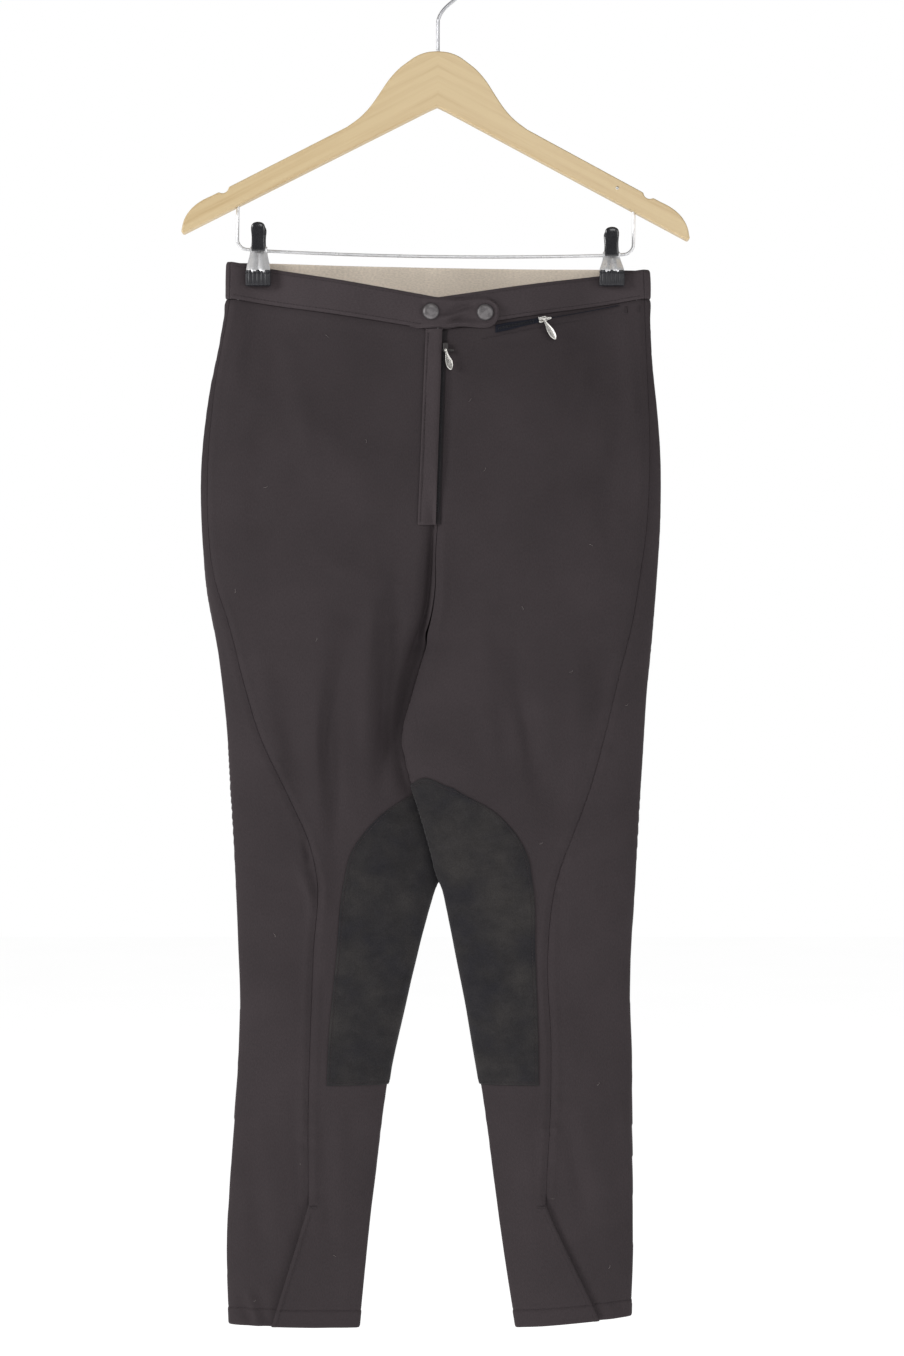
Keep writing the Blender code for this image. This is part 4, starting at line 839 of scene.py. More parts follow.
@dataclass
class Cut:
    """What a sheet is: its finish, slot and solid, its flat size in metres, what holds it, and its area."""

    finish: Material
    slot: str
    node: str
    flat: tuple[float, float]
    rests_on: tuple[str, ...]
    area: float | None = None

    def sheet(self, name: str, grids: Grids, across: Array, down: Array, gaps: bool = False) -> Piece:
        """A thin closed sheet between two grids of points, placed on its body in place of its solid and reported.

        Args:
            name: The piece's name.
            grids: The outer and the inner face's points, in rows and columns.
            across: Place along the cut's width, in millimetres.
            down: Place along the cut's length.
            gaps: Whether half a seam's gap is left at its first and last columns.

        Returns:
            The piece.
        """
        outer, inner = grids[:2]
        for grid in (outer, inner) if gaps else ():
            for end, neighbour in ((0, 1), (-1, -2)):
                along = grid[:, neighbour] - grid[:, end]
                length = np.linalg.norm(along, axis=-1, keepdims=True)
                grid[:, end] += along / length * np.minimum(SEAM_GAP / 2, length * 0.4)
        rows, columns = outer.shape[:2]
        count = rows * columns
        at = np.arange(count).reshape(rows, columns)
        quads = np.stack([at[:-1, :-1], at[1:, :-1], at[1:, 1:], at[:-1, 1:]], axis=-1).reshape(-1, 4)
        loop = np.concatenate([at[:, 0], at[-1, 1:], at[-2::-1, -1], at[0, -2:0:-1]])
        after = np.roll(loop, -1)
        faces = np.concatenate(
            [quads, quads[:, ::-1] + count, np.stack([after, loop, loop + count, after + count], axis=-1)]
        )
        normal = np.cross(outer[1:, :-1] - outer[:-1, :-1], outer[:-1, 1:] - outer[:-1, :-1])
        if (normal * (outer - inner)[:-1, :-1]).sum() < 0:
            faces = faces[:, ::-1]
        piece = new_piece(name, np.concatenate([outer.reshape(-1, 3), inner.reshape(-1, 3)]), faces, self.finish)
        cut = np.stack([np.broadcast_to(part, (rows, columns)) for part in (across, down)], axis=-1)
        cut = np.concatenate([cut.reshape(-1, 2)] * 2) * MM
        uvs = cut[faces.reshape(-1)].reshape(-1).astype(np.float32)
        piece.data.uv_layers[CUT_MAP].data.foreach_set("uv", uvs)
        place_piece(piece, self.slot, self.node)
        return piece


def select(*pieces: Piece) -> None:
    """Selects these pieces alone, with the first one active."""
    bpy.ops.object.select_all(action="DESELECT")
    for piece in pieces[::-1]:
        piece.select_set(True)
        bpy.context.view_layer.objects.active = piece


def smooth_by_angle(piece: Piece, degrees: float = 42.0) -> None:
    """Smooth shading, with edges sharper than the angle kept."""
    select(piece)
    bpy.ops.object.shade_smooth_by_angle(angle=math.radians(degrees))


def loft(name: str, sections: list[Array], finish: Material) -> Piece:
    """A solid drawn out through sections, from a circle that is extruded once for each.

    Args:
        name: The piece's name.
        sections: Rings of points, in order and of one length.
        finish: Its material.

    Returns:
        The piece, closed by flat caps.
    """
    select()
    bpy.ops.mesh.primitive_circle_add(vertices=len(sections[0]), radius=MM, fill_type="NGON")
    made = bpy.context.object
    made.name = made.data.name = name
    for vertex, point in zip(made.data.vertices, sections[0]):
        vertex.co = Vector(point) * MM
    bpy.ops.object.mode_set(mode="EDIT")
    bpy.ops.mesh.select_all(action="SELECT")
    for before, after in zip(sections, sections[1:]):
        bpy.ops.mesh.extrude_region_move()
        mesh = bmesh.from_edit_mesh(made.data)
        moved = [vertex for vertex in mesh.verts if vertex.select]
        places = np.array([vertex.co for vertex in moved]) / MM
        apart = np.linalg.norm(places[:, None] - np.asarray(before)[None], axis=-1)
        for vertex, match in zip(moved, apart.argmin(axis=1)):
            vertex.co = Vector(after[match]) * MM
        bmesh.update_edit_mesh(made.data)
    bpy.ops.mesh.select_all(action="SELECT")
    bpy.ops.mesh.normals_make_consistent(inside=False)
    bpy.ops.object.mode_set(mode="OBJECT")
    made.data.materials.append(finish)
    smooth_by_angle(made)
    return made


def rings(count: int, power: float, stations: Rows) -> list[Array]:
    """Level rings of one form, round or squarer where the power is under 1.

    Args:
        count: Corners of each ring.
        power: 1 for a circle, less for squarer corners.
        stations: Half width, half depth and height of each ring.

    Returns:
        The rings of points.
    """
    angles = np.linspace(0, 2 * np.pi, count, endpoint=False)
    ring = np.column_stack([np.cos(angles), np.sin(angles)])
    ring = np.sign(ring) * np.abs(ring) ** power
    return [np.column_stack([ring * (wide, deep), np.full(count, z)]) for wide, deep, z in stations]


def finish_with(piece: Piece, kind: str, **settings: object) -> None:
    """Adds a modifier and applies it."""
    select(piece)
    added = piece.modifiers.new(kind.lower(), kind)
    for name, value in settings.items():
        setattr(added, name, value)
    bpy.ops.object.modifier_apply(modifier=added.name)


def prism(name: str, outline: Array, thickness: float, rounding: float, finish: Material, segments: int = 4) -> Piece:
    """A flat outline in X and Z, thickened along Y, with rounded edges."""
    sections = [np.insert(np.asarray(outline, float), 1, y, axis=1) for y in (-thickness / 2, thickness / 2)]
    made = loft(name, sections, finish)
    limits = {"limit_method": "ANGLE", "angle_limit": math.radians(50)}
    finish_with(made, "BEVEL", width=rounding * MM, segments=segments, **limits)
    smooth_by_angle(made)
    return made


def wire(name: str, route: Array, radius: float, finish: Material, sides: int = 14) -> Piece:
    """A round wire along a route in the X-Z plane, with rounded ends."""
    tangents = unit(np.gradient(route, axis=0))
    angles = np.linspace(0, 2 * np.pi, sides, endpoint=False)
    stations = [(point, tangent, 1.0) for point, tangent in zip(route, tangents)]
    for share in (0.5, 0.85, 1.0):
        shrink = math.sqrt(1 - share**2) + 0.03
        stations.insert(0, (route[0] - tangents[0] * radius * share, tangents[0], shrink))
        stations.append((route[-1] + tangents[-1] * radius * share, tangents[-1], shrink))
    sections = []
    for point, tangent, share in stations:
        flat = point + np.outer(np.cos(angles) * radius * share, (-tangent[1], tangent[0]))
        sections.append(np.column_stack([flat[:, 0], np.sin(angles) * radius * share, flat[:, 1]]))
    return loft(name, sections, finish)


def bore(piece: Piece, radius: float, depth: float, centre: tuple) -> None:
    """Bores a round hole along Z."""
    select()
    bpy.ops.mesh.primitive_cylinder_add(vertices=32, radius=radius * MM, depth=depth * MM, location=Vector(centre) * MM)
    cutter = bpy.context.object
    finish_with(piece, "BOOLEAN", operation="DIFFERENCE", solver="EXACT", object=cutter)
    bpy.data.objects.remove(cutter, do_unlink=True)


def join(name: str, *pieces: Piece) -> Piece:
    """Several pieces as one."""
    select(*pieces)
    bpy.ops.object.join()
    pieces[0].name = pieces[0].data.name = name
    return pieces[0]


def settle(piece: Piece, place: Matrix) -> Piece:
    """Puts a piece's place into its mesh."""
    piece.data.transform(place)
    return piece


def moved(*offset: float) -> Matrix:
    """A shift by millimetres."""
    return Matrix.Translation(Vector(offset) * MM)


def turned(degrees: float, axis: str) -> Matrix:
    """A turn about an axis."""
    return Matrix.Rotation(math.radians(degrees), 4, axis)


def drawn_shape(stations: Rows) -> Array:
    """Corners of a small four-sided shape along X, from (x, half width, half height) stations."""
    corners = ((-1, -1), (1, -1), (1, 1), (-1, 1))
    return np.array([(x, y * width, z * height) for x, width, height in stations for y, z in corners], float)


def repeated(name: str, shape: Array, runs: list[Grids], finish: Material) -> Piece:
    """Many copies of one small drawn shape as one piece.

    Args:
        name: The piece's name.
        shape: Its corners, from drawn_shape.
        runs: Places, directions along and directions out of the cloth, for each run of copies.
        finish: Its material.

    Returns:
        The piece.
    """
    places, along, out = (np.concatenate(parts) for parts in zip(*runs))
    ways = (along, np.cross(out, along), out)
    points = places[:, None] + sum(shape[None, :, i : i + 1] * way[:, None] for i, way in enumerate(ways))
    last = len(shape) - 4
    faces = [(3, 2, 1, 0), (last, last + 1, last + 2, last + 3)]
    for start in range(0, last, 4):
        faces += [(start + i, start + (i + 1) % 4, start + 4 + (i + 1) % 4, start + 4 + i) for i in range(4)]
    at = np.arange(len(places))[:, None, None] * len(shape)
    return new_piece(name, points.reshape(-1, 3), (np.array(faces)[None] + at).reshape(-1, 4), finish)


@dataclass
class Sewn:
    """A finished sheet's outer and inner grids, its distances along the cut and its nominal heights."""

    outer: Array
    inner: Array
    arcs: Array
    z: Array

    def line(self, z: Array, arc: Array) -> Grids:
        """Points and outward directions along a line on the sheet.

        Args:
            z: Nominal heights.
            arc: Distances along the cut; below zero they count back from the far edge.

        Returns:
            The points and the directions.
        """
        z, arc = np.broadcast_arrays(np.asarray(z, float), np.asarray(arc, float))
        row = np.clip(np.interp(-z, -self.z, np.arange(len(self.z))), 0, len(self.z) - 1.001)
        both = np.concatenate([self.outer, self.outer - self.inner], axis=-1)
        made = []
        for at, distance in zip(row, arc):
            i, share = int(at), at % 1.0
            spread = self.arcs[i]
            distance = distance if distance >= 0 else spread[-1] + distance
            column = min(np.interp(distance, spread, np.arange(len(spread))), len(spread) - 1.001)
            j, across = int(column), column % 1.0
            upper, lower = (both[k, j] * (1 - across) + both[k, j + 1] * across for k in (i, i + 1))
            made.append(upper * (1 - share) + lower * share)
        made = np.array(made)
        return made[:, :3], unit(made[:, 3:])


def paced(points: Array, outs: Array, pitch: float) -> Grids:
    """Even places along a line, with their directions along and out."""
    steps = np.concatenate([[0.0], np.cumsum(np.linalg.norm(np.diff(points, axis=0), axis=-1))])
    at = np.arange(pitch / 2, steps[-1], pitch)

    def read(given: Array, shift: float = 0.0) -> Array:
        """Values at the places, moved along the line by a shift."""
        return np.column_stack([np.interp(at + shift, steps, given[:, i]) for i in range(3)])

    along, out = unit(read(points, pitch / 2) - read(points, -pitch / 2)), read(outs)
    return read(points), along, unit(out - along * (out * along).sum(axis=-1, keepdims=True))


# ---- cloth sub-assemblies ----------------------------------------------------------------------------------


@dataclass
class LegPanels:
    """The four panels that make the trunk and legs, with their seams, ankle flaps and hems."""

    drape: Drape
    finishes: Finishes
    wall: float = 1.6
    columns: int = 118
    crowding: float = 0.62
    flap_hem_left: float = 145.4
    flap_hem_right: float = 141.0
    flap_step: float = 2.1
    flap_step_length: float = 12.0
    hem_depth: float = 15.0
    hem_swell: float = 0.45
    seam_ditch: float = 0.7
    seam_ridge: float = 0.75
    cut_front: tuple[float, float, float] = (0.215, 0.93, 0.118)
    cut_back: tuple[float, float, float] = (0.26, 0.93, 0.192)
    sewn: dict = field(default_factory=dict)

    def heights(self) -> Array:
        """Nominal heights of the rows, closer at the waist seam, the vent and the hem."""
        form = self.drape.form
        fork = form.fork_top + (form.crotch - form.fork_top) * np.sin(np.linspace(0, math.pi / 2, 64)[1:])
        vent, hem = form.flap_top + self.flap_step_length, form.hem + 20.0
        return np.concatenate(
            [
                np.linspace(form.waist_seam - SEAM_GAP / 2, -310.0, 9), np.linspace(-310.0, form.fork_top, 58)[1:],
                fork, np.linspace(form.crotch, vent, 172)[1:], np.linspace(vent, hem, 36)[1:],
                np.linspace(hem, form.hem, 24)[1:],
            ]
        )

    def flap_edge(self, side: Side, z: Array) -> Array:
        """Distance of the front panel's outer edge from the middle: the outseam, then the slanting flap."""
        form, seam = self.drape.form, OUTSEAM.at(side.word, z)
        down = np.clip((form.flap_top - z) / (form.flap_top - form.hem), 0.0, 1.0)
        return seam + (getattr(self, f"flap_hem_{side.word}") - seam) * down

    def step_lift(self, side: Side, x: Array, z: Array) -> Array:
        """How far the flap stands out over the back panel."""
        top, seam = self.drape.form.flap_top, OUTSEAM.at(side.word, z)
        return self.flap_step * smooth_step(top + self.flap_step_length, top + 1.0, z) * smooth_step(-26, -1, x - seam)

    def seam_relief(self, distance: Array, z: Array, phase: float, calm: float = 1.0) -> Array:
        """The ditch at a seam, the ridge of its allowance beside it, and its small puckers."""
        pucker = np.sin(z / 2.1 + phase) + 0.7 * np.sin(z / 3.7 + 2 * phase) + 0.5 * np.sin(z / 7.9 + phase)
        gathered = 0.10 + 0.5 * bump_at(z + 1028, 26) + 0.3 * bump_at(z + 812, 30) + 0.12 * bump_at(z + 700, 60)
        pressed = 0.5 + 0.5 * smooth_step(-770.0, -850.0, z)
        ditch = -self.seam_ditch * (0.65 * bump_at(distance, 2.2) + 0.5 * bump_at(distance, 5.5))
        ridge = self.seam_ridge * pressed * bump_at(distance - 5.5, 3.2)
        return ditch + ridge + pucker * gathered * calm * bump_at(distance - 4.0, 4.0)

    def edge_relief(self, z: Array) -> Array:
        """The turned hem's swell, stitch line and rounded edge, and the fullness under the waist seam."""
        up, down = z - self.drape.form.hem, self.drape.form.waist_seam - z
        swell = self.hem_swell * smooth_step(self.hem_depth + 1.5, self.hem_depth - 1.0, up)
        hem = swell - 0.5 * bump_at(up - self.hem_depth, 0.9) - 0.6 * bump_at(up, 0.9)
        return hem + 0.5 * bump_at(down - 6.0, 5.0) - 0.7 * bump_at(down, 1.5)

    def panel(self, side: Side, face: Face) -> None:
        """One panel.

        Args:
            side: The half that it belongs to.
            face: Whether it is the front or the back panel.
        """
        form, z, is_front = self.drape.form, self.heights(), face == Face.FRONT
        edge = self.flap_edge(side, z) if is_front else OUTSEAM.at(side.word, z)
        seam = form.turn_at(side, edge, z)
        ends = (np.zeros(len(z)), seam) if is_front else (seam, np.ones(len(z)))
        turns, arcs = self.drape.columns(side, *ends, z, self.columns, self.crowding)
        rows, total = z[:, None], arcs[:, -1:]
        x = np.abs(form.point(side, turns, rows)[..., 0])
        sewn = smooth_step(form.flap_top - 2.0, form.flap_top + 6.0, rows)
        to_outseam, to_middle = (total - arcs, arcs) if is_front else (arcs, total - arcs)
        phase = 1.3 * side.value + 0.8 * is_front
        middle_depth = 0.35 + 0.65 * form.leg_share(np.zeros(1), rows) if is_front else 1.0
        lift = self.seam_relief(to_outseam, rows, phase) * sewn + self.edge_relief(rows)
        lift = lift + self.seam_relief(to_middle, rows, phase + 2.0, 0.25) * middle_depth * 0.8
        if is_front:
            lift = lift + self.step_lift(side, x, rows)
            lift = lift + (0.7 * bump_at(to_outseam - 2.6, 2.2) - 0.3 * bump_at(to_outseam, 0.8)) * (1 - sewn)
        else:
            under = bump_at(x - self.flap_edge(side, rows) - 2.0, 5.5) * (1 - sewn)
            lift = lift - 1.3 * under * (form.flatness(turns, rows) < 0)
        grids = self.drape.skins(side, turns, rows, lift, self.wall)
        width, length, area = self.cut_front if is_front else self.cut_back
        node = f"{face.value}_panel_{side.word}"
        cut = Cut(self.finishes.cloth, "cloth", node, (width, length), BOTH_CLIPS, area)
        cut.sheet(f"{face.value}_cloth_{side.word}", grids, arcs, rows, gaps=True)
        self.sewn[side, face] = Sewn(*grids, arcs, z)

    def build(self) -> None:
        """Makes the four panels."""
        for side in Side:
            for face in Face:
                self.panel(side, face)


@dataclass
class Waistband:
    """The doubled band in three pieces, and the beige facing inside its back."""

    drape: Drape
    finishes: Finishes
    step: float = 0.7
    wall: float = 2.3
    facing_wall: float = 1.0
    facing_start: float = 0.68
    edge_rounding: float = 0.8
    columns: int = 120
    sewn: list = field(default_factory=list)

    def band_lift(self, z: Array, top: float, low: float, arcs: Array) -> Array:
        """The band's face: rounded at both edges, a little full between, and uneven along."""
        edges = bump_at(top - z, 1.3) + 0.6 * bump_at(z - low, 1.1)
        full = 0.35 * np.sin(np.pi * np.clip((top - z) / (top - low), 0, 1))
        uneven = 0.22 * np.sin(arcs / 17.0) * np.sin((top - z) / 7.0) + 0.1 * np.sin(arcs / 6.1 + 1)
        return self.step - self.edge_rounding * edges + full + uneven * (1 - edges)

    def part(self, side: Side, first: float, last: float) -> Grids:
        """Grids of one half's stretch of band, with its places along and down the cut."""
        low, high = self.drape.form.waist_seam + SEAM_GAP / 2, self.drape.form.waist_top
        z = high + (low - high) * crowded(26, 0.8)
        turns, arcs = self.drape.columns(side, 0 * z + first, 0 * z + last, z, self.columns, 0.3)
        rows = z[:, None]
        lift = self.band_lift(rows, high, low, arcs)
        wall = self.wall - self.edge_rounding * 1.2 * bump_at(high - rows, 1.2) + (lift - self.step) * 0.5
        return *self.drape.skins(side, turns, rows, lift, wall), arcs, rows + 0 * arcs

    def band(self, name: str, node: str, grids: Grids, length: float, rests_on: tuple[str, ...]) -> None:
        """One piece of the band, kept for its stitches."""
        outer, inner, arcs, rows = grids
        cut = Cut(self.finishes.band, "band_cloth", node, (0.029, length), rests_on)
        cut.sheet(name, grids, rows, arcs, gaps=True)
        self.sewn.append(Sewn(outer, inner, arcs, rows[:, 0]))

    def build(self) -> None:
        """Makes the band's fronts, its back and the facing."""
        form, backs = self.drape.form, []
        for side in Side:
            seam, word = float(form.turn_at(side, OUTSEAM.at(side.word, form.waist_seam), form.waist_seam)), side.word
            front, clip = self.part(side, 0.0, seam), (f"clip_{word}_pads",)
            self.band(f"band_front_cloth_{word}", f"waistband_front_{word}", front, 0.192, clip)
            backs.append(self.part(side, seam, 1.0))
        self.band("band_back_cloth", "waistband_back", self.closed(*backs), 0.385, BOTH_CLIPS)
        self.build_facing()

    @staticmethod
    def closed(left: Grids, right: Grids) -> Grids:
        """The left and right grids of the back as one, joined at the middle."""
        outer, inner, _, rows = (np.concatenate([a, b[:, -2::-1]], axis=1) for a, b in zip(left, right))
        arcs = np.concatenate([left[2], 2 * left[2][:, -1:] - right[2][:, -2::-1]], axis=1)
        return outer, inner, arcs, rows

    def build_facing(self) -> None:
        """The facing, with the step of its join at the middle."""
        high, low = self.drape.form.waist_top - 0.2, self.drape.form.waist_seam + 1.0
        z = high + (low - high) * crowded(20, 0.8)
        rows, parts = z[:, None], []
        for side in Side:
            turns, arcs = self.drape.columns(side, 0 * z + self.facing_start, 0 * z + 1, z, 70, 0.0)
            join_swell = 0.35 * bump_at(arcs[:, -1:] - arcs - 3.0, 2.5) * (1 if side == Side.LEFT else 0.4)
            ripple = 0.12 * np.sin(arcs / 9.0 + side.value) * np.sin((rows - low) / 8.0)
            wall = self.facing_wall + join_swell + ripple - 0.3 * bump_at(high - rows, 1.0)
            skins = self.drape.skins(side, turns, rows, self.step - self.wall - SEAT_GAP, wall)
            parts.append((*skins, arcs, rows + 0 * arcs))
        outer, inner, arcs, rows = self.closed(*parts)
        cut = Cut(self.finishes.facing, "facing", "waistband_facing", (0.0265, 0.31), ("band_back_cloth",))
        cut.sheet("band_facing", (outer, inner), rows, arcs)


@dataclass
class KneePatches:
    """Suede patches that wrap the inner knee from front to back."""

    drape: Drape
    finishes: Finishes
    lift: float = 1.45
    wall: float = 1.0
    columns: int = 150
    rows: int = 130
    back_share: float = 0.8
    ring_place: tuple[float, float] = (8.8, -762.8)
    ring_radius: float = 7.4
    dome: float = 10.0
    dome_middle: float = -8.0
    dome_width: float = 15.0
    dome_depth: float = 45.0
    sewn: list = field(default_factory=list)

    def patch(self, side: Side) -> None:
        """One patch: stitched in at its edges, and on the right domed at its top and marked by a ring."""
        form, top, bottom = self.drape.form, PATCH_EDGE.rows[0][0], PATCH_EDGE.rows[-1][0]
        z = top + (bottom - top) * crowded(self.rows, 0.7)
        edge = form.turn_at(side, PATCH_EDGE.at(side.word, z), z)
        turns, arcs = self.drape.columns(side, edge, -edge * self.back_share, z, self.columns, 0.6)
        rows, total, is_right = z[:, None], arcs[:, -1:], side == Side.RIGHT
        inward = np.minimum(np.minimum(arcs, total - arcs), np.minimum(top - rows, rows - bottom))
        peak = self.dome * bump_at(form.point(side, turns, rows)[..., 0] - self.dome_middle, self.dome_width)
        rows = rows + peak * np.clip(1 - (top - rows) / self.dome_depth, 0.0, 1.0) * is_right
        lift = self.lift - 0.55 * bump_at(inward, 1.1) - 0.3 * bump_at(inward - 2.6, 0.8)
        lift = lift + 0.12 * np.sin(rows / 5.3 + arcs / 13.0) * bump_at(inward - 4.0, 4.0)
        points = form.point(side, turns, rows)
        away = np.hypot(points[..., 0] - self.ring_place[0], points[..., 2] - self.ring_place[1])
        on_front = form.flatness(turns, rows) < 0
        lift = lift - 0.8 * bump_at(away - self.ring_radius, 1.3) * on_front * is_right
        grids = self.drape.skins(side, turns, rows, lift, self.wall - 0.35 * bump_at(inward, 1.1))
        seat = (f"front_cloth_{side.word}",)
        cut = Cut(self.finishes.suede, "suede", f"knee_patch_{side.word}", (0.15, 0.258), seat, 0.033)
        cut.sheet(f"knee_suede_{side.word}", grids, arcs, rows)
        self.sewn.append(Sewn(*grids, arcs, z))

    def build(self) -> None:
        """Makes both patches."""
        for side in Side:
            self.patch(side)


@dataclass
class Fastening:
    """The fly's folded placket, the gathered waist tab and its two press studs."""

    drape: Drape
    finishes: Finishes
    placket_top: float = -332.6
    placket_bottom: float = -503.0
    placket_left: tuple[float, float] = (-10.5, -17.5)
    placket_right: tuple[float, float] = (4.0, -1.8)
    placket_wall: float = 1.8
    placket_rise: float = 1.1
    tab_start: float = -24.0
    tab_end: float = 53.4
    tab_height: float = 27.0
    tab_middle: float = -318.5
    tab_waist: float = 1.4
    tab_wall: float = 1.8
    tab_lift: float = 1.05
    tab_sink: float = 0.9
    snaps: tuple[tuple[str, float, float], ...] = (("snap_left", -6.1, -317.8), ("snap_right", 41.0, -318.4))
    snap_radius: float = 7.2
    snap_height: float = 2.0
    snap_dome: Rows = (
        (1.0, 0.0), (1.0, 0.22), (0.97, 0.42), (0.91, 0.62), (0.82, 0.84), (0.74, 0.94), (0.66, 0.96),
        (0.58, 0.9), (0.52, 0.84), (0.44, 0.88), (0.32, 0.98), (0.16, 1.04), (0.03, 1.06),
    )
    snap_rim: Rows = ((0.86, 0.0), (1.0, 0.0), (1.0, 0.16), (0.97, 0.3), (0.92, 0.34), (0.86, 0.3))

    def placket_edges(self, down: Array) -> Grids:
        """The placket's left and right edges and its heights, at shares of its length."""
        left, right = (a + (b - a) * down for a, b in (self.placket_left, self.placket_right))
        return left, right, self.placket_top + (self.placket_bottom - self.placket_top) * down

    def build_placket(self) -> None:
        """The folded strip over the fly zip."""
        left, right, z = self.placket_edges(crowded(100, 0.5)[:, None])
        across = crowded(26, 0.6)[None, :]
        x = left + (right - left) * across
        wall = self.placket_wall - 0.8 * bump_at(x - left, 1.0) - 0.7 * bump_at(right - x, 1.0)
        wall = wall - 0.7 * bump_at(z - self.placket_bottom, 1.0) - 0.4 * bump_at(x - left - 2.2, 0.8)
        wall = wall + 0.16 * np.sin(z / 5.2) * bump_at(x - left - 3, 4) + 0.25 * np.sin(z / 21.0 + 0.6)
        wall = wall + 0.25 * bump_at(right - x - 3.5, 2.5)
        lift = SEAT_GAP + self.placket_rise * smooth_step(0.0, 0.75, across) + wall
        cut = Cut(self.finishes.band, "cloth", "fly_placket", (0.016, 0.167), ("front_cloth_left",))
        cut.sheet("fly_placket_cloth", self.drape.patch(x, z, lift, wall), x, z)

    def gathers(self, x: Array, z: Array) -> Array:
        """The tab's troughs and ridges between the studs, and the rim round its end."""
        rim = [(41 + 11.3 * math.sin(a), -318.4 + 10.4 * math.cos(a)) for a in np.linspace(-0.5, 3.6, 9)]
        creases = drawn(
            (-1.5, 2.6, 0, 2, -320.5, 14, -317, 24, -313.5, 33, -310.5),
            (-1.4, 2.4, 0, 6, -327.5, 19, -323.2, 30, -323, 37, -326),
            (1.1, 2.4, 0, 0, -325, 12, -321.5, 22, -318, 31, -317), (0.8, 2.2, 0, 8, -311, 20, -308.5, 32, -306),
            (0.8, 2.0, 0, 8, -331, 20, -328.5, 30, -329.8), (0.5, 2.0, 0, -14, -311, -6, -307.0, 4, -309),
        )
        return 1.5 * sum(crease.at(x, z) for crease in (*creases, Crease(tuple(rim), 1.5, 2.1)))

    def build_tab(self) -> None:
        """The tab that laps from left over right."""
        radius = self.tab_height / 2
        bend = self.tab_end - radius
        end = bend + radius * np.sin(np.linspace(0, math.pi / 2, 22)[1:] * 0.985)
        x = np.concatenate([np.linspace(self.tab_start, bend, 46), end])[:, None]
        into_end = np.clip(x - bend, 0.0, radius * 0.999)
        half = np.sqrt(radius**2 - into_end**2) - self.tab_waist * bump_at(x - 20.0, 13.0)
        quarter = math.pi / 2 * 0.92
        share = (np.sin(np.linspace(-1.0, 1.0, 44) * quarter) / math.sin(quarter))[None, :]
        z = self.tab_middle + half * share
        x = np.broadcast_to(x, z.shape)
        inward = np.minimum(half * (1 - np.abs(share)), self.tab_end - x)
        folds = self.gathers(x, z) * smooth_step(0.0, 2.5, inward)
        for _, snap_x, snap_z in self.snaps:
            folds = folds * (1 - bump_at(np.hypot(x - snap_x, z - snap_z), 7.5))
        left_end = smooth_step(self.tab_start, self.tab_start + 24.0, x)
        wall = self.tab_wall - 0.9 * bump_at(inward, 1.3) + 0.25 * bump_at(inward - 3.0, 2.0)
        wall = wall * (0.3 + 0.7 * left_end)
        lift = (self.tab_lift + self.tab_sink) * left_end - self.tab_sink + wall + folds
        cut = Cut(self.finishes.band, "band_cloth", "waist_tab", (0.027, 0.073), ("band_front_cloth_left",))
        cut.sheet("waist_tab_cloth", self.drape.patch(x, z, lift, wall), x, z)

    def build_snap(self, name: str, x: float, z: float) -> None:
        """A press stud's domed cap, with a dished middle, in its dark rim."""
        place = self.drape.frame_at(x, z, self.tab_lift + self.tab_wall + SEAT_GAP)
        parts = []
        for kind, stations, share in (("", self.snap_dome, 0.93), ("_rim", self.snap_rim, 1.0)):
            radius, finish = self.snap_radius * share, self.finishes.rim if kind else self.finishes.snap
            sections = rings(40, 1.0, [(r * radius, r * radius, rise * self.snap_height) for r, rise in stations])
            parts.append(loft(name + kind, sections, finish))
        made = settle(join(f"{name}_cap", *parts), place @ turned(90, "X"))
        place_piece(made, "snap_metal", name)

    def build(self) -> None:
        """Makes the placket, the tab and the studs."""
        self.build_placket()
        self.build_tab()
        for snap in self.snaps:
            self.build_snap(*snap)


